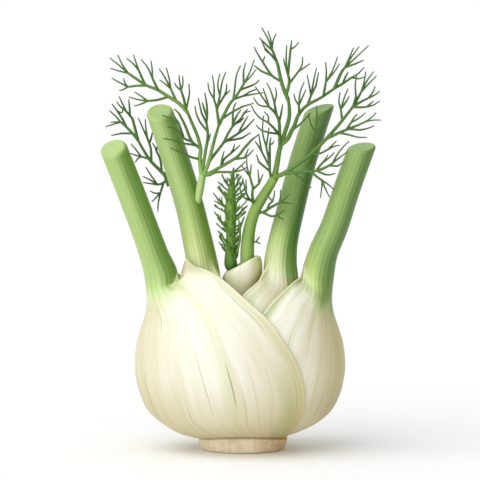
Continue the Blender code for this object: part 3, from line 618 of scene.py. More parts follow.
def cut_skin(name, pale, ring, seed):
    """Cut plant tissue: pale and moist, with the ends of its vessels as darker dots."""
    tree, shader, material = new_skin(name, 0.35, 0.12)
    dots = add(tree, "ShaderNodeTexVoronoi", {"Vector": uv_place(tree), "Scale": 9.0 + 0.1 * seed})
    dot = calc(tree, "MULTIPLY_ADD", dots.outputs["Distance"], -7.0, 1.0, clamp=True)
    feed(tree, shader.inputs["Base Color"], tint(tree, pale, ring, dot, mode="MIX"))
    return material


# thickness: height, at the thick side, at the front and back
thickness = [(5.8, 4.5, 2.2), (20, 8, 3.8), (42, 10, 4.4), (60, 10.5, 3.6), (75, 14, 2.2), (88, 17, 1.8)]
sheaths.append((-1, thickness))
# margins: height along the leaf's middle, x and z of the margin; stalk: height, x, y, width and depth;
# shoulders and green: where the change starts and ends in the middle, then at the margins;
# seams: how far round the stalk the front and the back margin close in; cut: rise outwards and backwards
outer_left = {
    "side": -1, "level": 0, "phase": 0.4, "rows": 200, "columns": 230, "more_rows": np.linspace(81, 84.5, 22),
    "front_margin": [
        (5.8, 22.6, 6.2), (11, 26.4, 11.2), (17, 29.5, 17.4), (24.6, 31.6, 24.8), (31.8, 31.6, 32.3),
        (38, 30.4, 39.1), (45, 27.7, 46.9), (51, 24.2, 53.4), (57, 19.7, 59.9), (62.5, 15.2, 66.3),
        (67, 9.9, 71.5), (71, 3.6, 76.6), (75, -2.7, 82.1), (78, -8, 86.4), (80, -12.5, 88.8),
        (81.5, -20, 88.6), (82.8, -27, 87.2), (83.6, -31, 86.0), (90, -31.6, 90),
    ],
    "back_margin": [
        (5.8, 10, 6.2), (20, 13, 20), (36, 14, 36), (50, 9, 51), (62, -1, 64.5), (70, -10, 74), (77, -19, 82),
        (84.5, -29, 87), (90, -31, 90),
    ],
    "stalk": [
        (58, -41, 0, 17.6, 44), (72.8, -39.5, 0, 15.8, 35), (80, -39.2, 0, 16.8, 26),
        (88, -40.1, 0, 16.9, 20), (97, -43.2, -0.4, 14.8, 17), (110.7, -48, -1.5, 14, 16),
        (130, -55.1, -3.5, 13.8, 15.4), (151.8, -63.5, -6, 13.6, 14.8),
    ],
    "shoulders": (62, 86, 83.6, 89),
    "seams": (math.radians(164), math.radians(140)),
    "cut": (0.08, 0.42),
    "green": (66, 88, 84, 96),
}
greens = ("f8f6e8", "e6edc4", "c9de98", "b4d07f", "aecb7b")
# after the greens: the colour of painted shade on the right of the stalk
skin = leaf_skin("outer_left_skin", greens, "98b672", 1.0)
cut_flesh = cut_skin("outer_left_cut", "b4d084", "a6c674", 1)
leaf = make_leaf("leaf_outer_left_skin", outer_left, skin, cut_flesh)
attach(leaf, "root")
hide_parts("leaf_outer_left")


# Outer right leaf
# The second leaf base, held under the first one's free edges, with the far right stalk. The same fleshy
# tissue, grown from the root plate inside the first leaf and cut off at the same height.
thickness = [(5.8, 4.5, 2.2), (20, 8, 3.8), (42, 10, 4.4), (60, 10, 3.4), (75, 12, 2.1), (88, 15, 1.8)]
sheaths.append((1, thickness))
outer_right = {
    "side": 1, "level": 1, "phase": 2.1, "rows": 200, "columns": 220,
    "front_margin": [
        (5.8, -7, 6.2), (20, -13, 20), (36, -13, 36), (50, -6, 51), (59, 2, 62.6), (66, 11.2, 71.4),
        (70, 15.2, 76.0), (74, 20, 80.4), (79, 25.0, 84.6), (82, 27.4, 86.3),
        (85, 29.3, 87.6), (90, 31.0, 91.8), (96, 32.4, 97),
    ],
    "back_margin": [
        (5.8, -8, 6.2), (20, -11, 20), (36, -11, 36), (50, -5, 51), (60, 4, 63), (70, 15, 74), (78, 24, 81.5),
        (84.5, 31, 87), (90, 32, 90),
    ],
    "stalk": [
        (58, 41, 0, 16.6, 42), (72.8, 38.7, 0, 14.8, 34), (80, 38.2, 0, 15.6, 25),
        (87.2, 38.4, 0, 16.4, 19), (99.2, 41.2, -0.5, 14.8, 16.5), (112, 46.6, -1.6, 13.9, 15.6),
        (130, 52.4, -3.4, 13.4, 15), (152.1, 60.1, -5.5, 13.2, 14.6),
    ],
    "shoulders": (62, 86, 81, 96),
    "seams": (math.radians(166), math.radians(140)),
    "cut": (0.44, 0.24),
    "green": (58, 92, 86, 112),
}
greens = ("f6f4e6", "e6edbc", "cade8c", "aecb74", "a0c070")
# after the greens: painted shade on the right of the stalk, then painted shade on the sheath's right and
# where it starts
skin = leaf_skin("outer_right_skin", greens, "849e5a", 2.0, "c6b98f", 0.62, "b4cf84")
cut_flesh = cut_skin("outer_right_cut", "98bc70", "8fb565", 2)
leaf = make_leaf("leaf_outer_right_skin", outer_right, skin, cut_flesh)
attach(leaf, "root")
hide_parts("leaf_outer_right")


# Inner left leaf
# The third leaf base, which stands higher, with the taller stalk on the left. The same tissue, a little more
# yellow where the outer leaves shaded it, cut off a finger's width above the outer stalks.
thickness = [(5.8, 4, 2), (20, 7, 3.4), (42, 9.5, 4.2), (60, 11, 3.4), (75, 16, 2.1), (88, 20, 1.8)]
sheaths.append((-1, thickness))
inner_left = {
    "side": -1, "level": 2, "phase": 4.0, "rows": 210, "columns": 200,
    "front_margin": [
        (5.8, 8, 6.2), (20, 12, 20), (36, 13, 36), (50, 9, 52), (60, 3, 63), (68, -2, 71), (75, -6.5, 78),
        (81, -9.3, 84), (86, -10.0, 88.4), (94, -12.2, 95.4), (98, -12.9, 98),
    ],
    "back_margin": [
        (5.8, 7, 6.2), (20, 12, 20), (36, 13, 36), (50, 10, 52), (60, 5, 63), (70, -1, 73), (78, -6, 80.5),
        (86, -11, 87.5), (94, -12, 94),
    ],
    "stalk": [
        (58, -20.6, 0, 19, 32), (75, -19.6, 0, 18.2, 23.4), (86, -18.7, 0, 17.0, 18),
        (95.8, -19.9, 0.2, 15.6, 16.8), (107.8, -22.4, 0.8, 14.8, 16.6), (122.8, -25.9, 1.8, 14.2, 16),
        (145.3, -32.7, 3.2, 13.8, 15.4), (169.7, -40.9, 4.6, 13.4, 15),
    ],
    "shoulders": (62, 90, 82, 98),
    "seams": (math.radians(130), math.radians(130)),
    "cut": (0.13, 0.56),
    "green": (70, 122, 78, 124),
}
greens = ("f4f4e0", "e6ecba", "d6e29e", "c0d282", "b2cc80")
# after the greens: the colour of painted shade on the right of the stalk
skin = leaf_skin("inner_left_skin", greens, "94b262", 3.0)
cut_flesh = cut_skin("inner_left_cut", "a9c878", "98ba68", 3)
leaf = make_leaf("leaf_inner_left_skin", inner_left, skin, cut_flesh)
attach(leaf, "root")
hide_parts("leaf_inner_left")


# Inner right leaf
# The fourth leaf base, with the taller stalk on the right, cut at the height of its neighbour. Its stalk and
# cut end are the darkest of the four: painted shade, for it lies deeper in the bulb.
thickness = [(5.8, 4, 2), (20, 7, 3.4), (42, 9.5, 4.2), (60, 11, 3.4), (75, 16, 2.1), (88, 19, 1.8)]
sheaths.append((1, thickness))
inner_right = {
    "side": 1, "level": 3, "phase": 5.3, "rows": 210, "columns": 200,
    "front_margin": [
        (5.8, -7, 6.2), (20, -12, 20), (36, -13, 36), (50, -11, 52), (60, -7, 64), (68, -3, 73),
        (74, 1.4, 79.9), (81, 8.8, 86.2), (90, 10.9, 92.8), (97, 11.8, 97.5),
    ],
    "back_margin": [
        (5.8, -7, 6.2), (20, -12, 20), (36, -13, 36), (50, -11, 52), (60, -6, 63), (70, 1, 72.5), (78, 7, 80),
        (86, 11, 87.5), (94, 12, 94),
    ],
    "stalk": [
        (58, 20.6, 0, 17.6, 34), (75, 20.3, 0, 17.8, 26), (86, 19.9, 0, 17.4, 20),
        (94.8, 19.8, 0.3, 16.4, 17.8), (105.2, 21.2, 1, 14.8, 16.6), (122.7, 25.4, 2.4, 13.8, 16),
        (145.2, 31.2, 4, 13.5, 15.4), (171.0, 39.4, 5.6, 13.2, 15),
    ],
    "shoulders": (62, 90, 83, 97),
    "seams": (math.radians(135), math.radians(130)),
    "cut": (0.6, 0.32),
    "green": (74, 112, 84, 122),
}
greens = ("f0f0dc", "e2eabc", "c8da90", "a8c470", "8aab5c")
# after the greens: the colour of painted shade on the right of the stalk
skin = leaf_skin("inner_right_skin", greens, "769e50", 4.0)
cut_flesh = cut_skin("inner_right_cut", "76994c", "6b9044", 4)
leaf = make_leaf("leaf_inner_right_skin", inner_right, skin, cut_flesh)
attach(leaf, "root")
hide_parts("leaf_inner_right")


# Heart sheath
# The innermost leaf base, still closed: a smooth pale bud with an oblique mouth at its tip, from which the
# young stalk and the young frond push up. It grew as the last sheath inside the others.
HEART_OUTSIDE = [
    (13.2, 0, 12.5, 8.4, 0), (17.5, 0, 19.5, 13.4, 0), (24, 0, 25.5, 17.5, 0), (33, 0, 29.5, 20.2, 0),
    (43, 0, 30, 20.6, 0), (52, 0, 27.5, 19.8, 0), (61, 0.2, 21, 17.4, 0), (69, 0.4, 14.4, 14.4, 0),
    (76.0, 0.6, 10.9, 12.0, 0), (82.0, 0.6, 10.0, 10.8, 0.14), (87.5, 0.6, 10.1, 10.0, 0.36),
    (91, 0.6, 9.9, 9.5, 0.48), (93, 0.6, 9.3, 8.8, 0.54), (93.7, 0.6, 8.8, 8.2, 0.56),
    (94, 0.6, 8.3, 7.7, 0.56),
]
HEART_POCKET = [
    (82, 0.6, 7.2, 6.4, 0), (88, 0.6, 7.4, 6.8, 0.2), (93.2, 0.6, 7.5, 6.9, 0.56),
    (93.85, 0.6, 7.8, 7.2, 0.56),
]
HEART_SIDES = 144
CORNER_ROUNDING = 0.3


def oblique_rings(stations, heights, sides):
    """Elliptical rings through stations of (height, x, half width, half depth, slant to the right)."""
    x, half_width, half_depth, tilt = along(stations, heights)
    angle = np.linspace(0.0, 2.0 * math.pi, sides, endpoint=False)[None, :]
    slant = np.cos(angle) - CORNER_ROUNDING * np.maximum(0.0, np.cos(angle)) ** 4
    return np.stack([
        x[:, None] + half_width[:, None] * np.cos(angle),
        half_depth[:, None] * np.sin(angle),
        heights[:, None] + tilt[:, None] * half_width[:, None] * slant,
    ], axis=-1)


def ring_faces(rows, sides):
    """Quads between rings, with both ends closed."""
    first, last = tuple(reversed(range(sides))), tuple(range((rows - 1) * sides, rows * sides))
    return [first] + ring_quads(rows, sides) + [last]


heart_rings = np.concatenate([
    oblique_rings(HEART_OUTSIDE, np.linspace(13.2, 93.0, 110), HEART_SIDES),
    oblique_rings(HEART_OUTSIDE, np.linspace(93.2, 94.0, 7), HEART_SIDES),
    oblique_rings(HEART_POCKET, np.linspace(93.85, 93.2, 5), HEART_SIDES),
    oblique_rings(HEART_POCKET, np.linspace(92.6, 82.0, 16), HEART_SIDES),
])
rows = len(heart_rings)
heart_points = heart_rings.reshape(-1, 3)
around = np.tile(np.linspace(0.0, 1.0, HEART_SIDES, endpoint=False), rows)
heart_uv = np.stack([np.abs(around * 2.0 - 1.0), heart_points[:, 2] / 100.0], axis=-1)
tree, shader, skin = new_skin("heart_skin", 0.38, 0.15)
uv = uv_place(tree)
height = add(tree, "ShaderNodeSeparateXYZ", {0: uv}).outputs["Y"]
# darker low down, where the bud sinks between the outer leaves, as painted shade; cream above, pale green at
# the mouth
colour = ramp(tree, height, [
    (0.78, "b9b98e"), (0.83, "d6d6ac"), (0.88, "efedd0"), (0.92, "f4f2dc"), (0.97, "e2e8c4"),
])
soft = between(tree, bands(tree, uv, 18.0, 3.0, 5.0), 0.45, 0.75)
colour = tint(tree, colour, "dcdcb4", soft, 0.35)
# painted shade on the right side
colour = tint(tree, colour, "d8d6ac", between(tree, field(tree, "flank_shade"), 0.5, 0.95))
feed(tree, shader.inputs["Base Color"], colour)
heart_faces = ring_faces(rows, HEART_SIDES)
heart = finish_piece("heart_sheath_skin", heart_points, heart_faces, [skin], uv=heart_uv)
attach(heart, "root")
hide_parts("heart_sheath")


# Root plate
# The short root end that the leaf bases grow from: tan fibrous tissue, sliced flat with a knife, with a
# notched rim, darker on its right as painted shade, and a low cone that is hidden under the leaves.
# sections: height, half width and half depth
ROOT_SECTIONS = [
    (0.0, 19.8, 15.6), (0.35, 20.4, 16.2), (0.7, 20.8, 16.6), (2.4, 21.6, 17.5), (4.2, 22.1, 18.2),
    (5.3, 22.3, 18.4),
]
ROOT_CENTRE = 1.1
ROOT_ARCH = 2.4
ROOT_HOLLOW = 0.25
ROOT_SIDES = 180
ROOT_ROWS = 22
ROOT_NOTCHES = 60
CONE_CENTRE = -0.4
CONE_SUNK = 1.2
chance = random.Random(4)
angle = np.linspace(0.0, 2.0 * math.pi, ROOT_SIDES, endpoint=False)
rough = np.zeros(ROOT_SIDES)
for _ in range(ROOT_NOTCHES):
    place, width, depth = chance.uniform(0, 2 * math.pi), chance.uniform(0.03, 0.12), chance.uniform(0.1, 0.5)
    apart = np.angle(np.exp(1j * (angle - place)))
    rough = np.maximum(rough, depth * np.exp(-(apart / width) ** 2))
_, foot_width, foot_depth = ROOT_SECTIONS[0]
root_top = ROOT_SECTIONS[-1][0]
root_points = []
for share in (0.0, 0.2, 0.4, 0.6, 0.8, 0.92):
    half_width, half_depth = foot_width * max(share, 0.01), foot_depth * max(share, 0.01)
    height = ROOT_HOLLOW * (1.0 - share)
    root_points += [(ROOT_CENTRE + half_width * math.cos(a), half_depth * math.sin(a), height) for a in angle]
for height in np.linspace(0.0, root_top, ROOT_ROWS):
    half_width, half_depth = along(ROOT_SECTIONS, np.array(height))
    pressed = rough * float(ease(height / 1.5)) * (0.7 + 0.3 * math.sin(height * 2.3))
    arch = ROOT_ARCH * height / root_top
    for a, inward in zip(angle, pressed):
        x, y = ROOT_CENTRE + (half_width - inward) * math.cos(a), (half_depth - inward) * math.sin(a)
        root_points.append((x, y, height + arch * math.sin(a) ** 2))
_, cone_height, cone_width, _, cone_depth, _ = bulb_ring(4, np.array(BASE_HEIGHT))
for share in (1.0, 0.6, 0.02):
    half_width, half_depth = (float(cone_width) - CONE_SUNK) * share, (float(cone_depth) - 1.0) * share
    height = float(cone_height) - CONE_SUNK
    root_points += [(CONE_CENTRE + half_width * math.cos(a), half_depth * math.sin(a), height) for a in angle]
tree, shader, material = new_skin("root_skin", 0.75)
grain = noise(tree, own_place(tree), 320.0, 4.0)
colour = ramp(tree, grain, [(0.3, "e6d0ac"), (0.5, "f0dfc0"), (0.7, "f7ebd2")])
# painted shade on the right side
colour = tint(tree, colour, "d6bf98", between(tree, field(tree, "flank_shade"), 0.5, 0.95))
bump = add(tree, "ShaderNodeBump", {"Height": grain, "Strength": 0.3, "Distance": 0.0003})
feed(tree, shader.inputs["Base Color"], colour)
feed(tree, shader.inputs["Normal"], bump.outputs["Normal"])
root_faces = ring_faces(len(root_points) // ROOT_SIDES, ROOT_SIDES)
root = finish_piece("root_plate_skin", root_points, root_faces, [material])
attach(root, "root")
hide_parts("root_plate")


# Right frond
# A slender young stalk with its large feathery leaf: round solid stems that fork again and again into
# thread-like leaflets. It grew up out of the heart, and hangs together as one living piece.
PIXEL = 0.5
AXIS_COLUMN = 241.0
GROUND_ROW = 450.5
THREAD_RADIUS = 0.52
TIP_RADIUS = 0.3
FROND_STEP = 0.9


def make_tube_tree():
    """Geometry nodes: round tubes along edges, as thick as their points say."""
    tree = bpy.data.node_groups.new("Tubes along edges", "GeometryNodeTree")
    tree.is_modifier = True
    for name, kind in (("Geometry", "Geometry"), ("Sides", "Int"), ("Skin", "Material")):
        tree.interface.new_socket(name, in_out="INPUT", socket_type="NodeSocket" + kind)
    tree.interface.new_socket("Geometry", in_out="OUTPUT", socket_type="NodeSocketGeometry")
    given = add(tree, "NodeGroupInput").outputs
    lines = add(tree, "GeometryNodeMeshToCurve", {"Mesh": given["Geometry"]}).outputs["Curve"]
    thickness = add(tree, "GeometryNodeInputNamedAttribute", {"Name": "thickness"}, data_type="FLOAT")
    thickness = thickness.outputs["Attribute"]
    curve = add(tree, "GeometryNodeSetCurveRadius", {"Curve": lines, "Radius": thickness}).outputs["Curve"]
    circle = add(tree, "GeometryNodeCurvePrimitiveCircle", {"Resolution": given["Sides"], "Radius": 1.0})
    inputs = {"Curve": curve, "Profile Curve": circle.outputs["Curve"], "Fill Caps": True}
    tubes = add(tree, "GeometryNodeCurveToMesh", inputs)
    if "Scale" in tubes.inputs:
        feed(tree, tubes.inputs["Scale"], thickness)
    smooth = add(tree, "GeometryNodeSetShadeSmooth", {"Geometry": tubes.outputs["Mesh"]})
    inputs = {"Geometry": smooth.outputs["Geometry"], "Material": given["Skin"]}
    dressed = add(tree, "GeometryNodeSetMaterial", inputs).outputs["Geometry"]
    whole = add(tree, "GeometryNodeRealizeInstances", {"Geometry": dressed}).outputs["Geometry"]
    add(tree, "NodeGroupOutput", {"Geometry": whole})
    return tree


tube_tree = make_tube_tree()


def photo_point(column, row, y):
    """A point over a pixel of the photograph, at a depth in mm."""
    return np.array([(column - AXIS_COLUMN) * PIXEL, y, (GROUND_ROW - row) * PIXEL])


def nearest_on(courses, point):
    """The closest point, seen from the front, on the lines already grown."""
    best = None
    for course in courses:
        start, run = course[:-1, :3], course[1:, :3] - course[:-1, :3]
        flat = run[:, [0, 2]]
        away = (point - start)[:, [0, 2]]
        share = np.clip(np.sum(away * flat, axis=1) / np.maximum(np.sum(flat * flat, axis=1), 1e-9), 0.0, 1.0)
        found = start + run * share[:, None]
        distance = np.hypot(found[:, 0] - point[0], found[:, 2] - point[2])
        index = int(np.argmin(distance))
        if best is None or distance[index] < best[0]:
            best = (distance[index], found[index])
    return best[1]


def smooth_course(points, radii, pale):
    """Points every FROND_STEP along a smooth curve: x, y, z, radius and paleness."""
    points = np.array(points)
    steps = np.linalg.norm(np.diff(points, axis=0), axis=1)
    keys = np.concatenate([[0.0], np.cumsum(np.maximum(steps, 0.05))])
    stations = np.column_stack([keys, points, radii, pale])
    count = max(3, int(math.ceil(keys[-1] / FROND_STEP)) + 1)
    return np.stack(along(stations.tolist(), np.linspace(0.0, keys[-1], count)), axis=-1)


def grow_frond(stem, twigs, seed, paleness=1.1):
    """Lines of a frond from its stem: twigs, and the threads at their ends."""
    chance = random.Random(seed)
    stations = np.array(stem)
    lines, threads = [smooth_course(stations[:, :3], stations[:, 3], stations[:, 4])], []
    for end_depth, radius, course, tips in twigs:
        start = nearest_on(lines, photo_point(*course[0], 0.0))
        points = [start]
        for index, pixel in enumerate(course[1:], start=1):
            points.append(photo_point(*pixel, mix(start[1], end_depth, index / (len(course) - 1.0))))
        last_radius = mix(radius, THREAD_RADIUS, 0.8) if radius > THREAD_RADIUS else radius
        radii = np.linspace(radius, last_radius, len(points))
        line = smooth_course(points, radii, np.clip((radii - 0.5) * paleness, 0.0, 1.0))
        lines.append(line)
        for tip in tips:
            depth = end_depth + chance.uniform(-1.6, 1.6)
            run = [line[-1, :3]]
            for index, pixel in enumerate(tip, start=1):
                run.append(photo_point(*pixel, mix(end_depth, depth, index / len(tip))))
            radii = np.linspace(min(THREAD_RADIUS, last_radius), TIP_RADIUS, len(run))
            threads.append(smooth_course(run, radii, np.zeros(len(run))))
    return lines, threads


def round_end(line):
    """The line with a rounded tip."""
    tip, radius = line[-1], line[-1, 3]
    ahead = unit(line[-1, :3] - line[-2, :3])
    extra = []
    for share, thickness in ((0.45, 0.86), (0.8, 0.55), (0.97, 0.2)):
        point = tip.copy()
        point[:3] += ahead * radius * share
        point[3] = radius * thickness
        extra.append(point)
    return np.vstack([line, extra])


def make_tubes(name, lines, skin, sides):
    """One mesh of tubes along lines, kept inside the CAD box."""
    points, edges = [], []
    for line in lines:
        start = len(points)
        points += list(line)
        edges += [(start + i, start + i + 1) for i in range(len(line) - 1)]
    points = np.array(points)
    mesh = bpy.data.meshes.new(name + "_lines")
    mesh.from_pydata((points[:, :3] * MM).tolist(), edges, [])
    mesh.attributes.new("thickness", "FLOAT", "POINT").data.foreach_set("value", points[:, 3] * MM)
    mesh.attributes.new("pale", "FLOAT", "POINT").data.foreach_set("value", points[:, 4])
    piece = bpy.data.objects.new(name, mesh)
    bpy.context.scene.collection.objects.link(piece)
    modifier = piece.modifiers.new("tubes", "NODES")
    modifier.node_group = tube_tree
    for item in tube_tree.interface.items_tree:
        if item.name == "Sides":
            modifier[item.identifier] = sides
        if item.name == "Skin":
            modifier[item.identifier] = skin
    bpy.context.view_layer.update()
    evaluated = piece.evaluated_get(bpy.context.evaluated_depsgraph_get())
    plain = bpy.data.meshes.new_from_object(evaluated)
    piece.modifiers.remove(modifier)
    piece.data = plain
    bpy.data.meshes.remove(mesh)
    plain.name = name
    corners = np.empty(len(plain.vertices) * 3, dtype=np.float32)
    plain.vertices.foreach_get("co", corners)
    inside = np.clip(corners.reshape(-1, 3), *cad_box)
    plain.vertices.foreach_set("co", inside.astype(np.float32).ravel())
    plain.update()
    mark_flank_shade(plain)
    return piece


def frond_skin(name, stops, grain_scale=90.0):
    """Green of a frond: dark in its threads, paler in its thicker stems, with light grain and painted shade
    on its right.
    """
    tree, shader, material = new_skin(name, 0.5, 0.08, 0.002, 0.3)
    grain = noise(tree, own_place(tree), grain_scale, 2.0)
    shade = calc(tree, "MULTIPLY_ADD", grain, 0.35, -0.17)
    colour = ramp(tree, calc(tree, "ADD", field(tree, "pale"), shade, clamp=True), stops)
    # painted shade on the right side
    right = between(tree, field(tree, "flank_shade"), 0.4, 0.95)
    feed(tree, shader.inputs["Base Color"], tint(tree, colour, "b0cc90", right))
    return material


# a stem's stations: x, y, z, radius and paleness
RIGHT_STEM = [
    (3.2, 0, 82.5, 2.9, 0.9), (3.1, -0.3, 96.3, 3.5, 0.9), (3.4, -1.2, 104.3, 3.3, 0.85),
    (4.5, -2.6, 112.3, 3, 0.8), (7, -4.6, 120.4, 2.8, 0.8), (9, -6, 124.2, 2.7, 0.75),
    (13.4, -9.6, 131.5, 2.4, 0.7), (16.6, -12.4, 137.2, 2.2, 0.7),
]
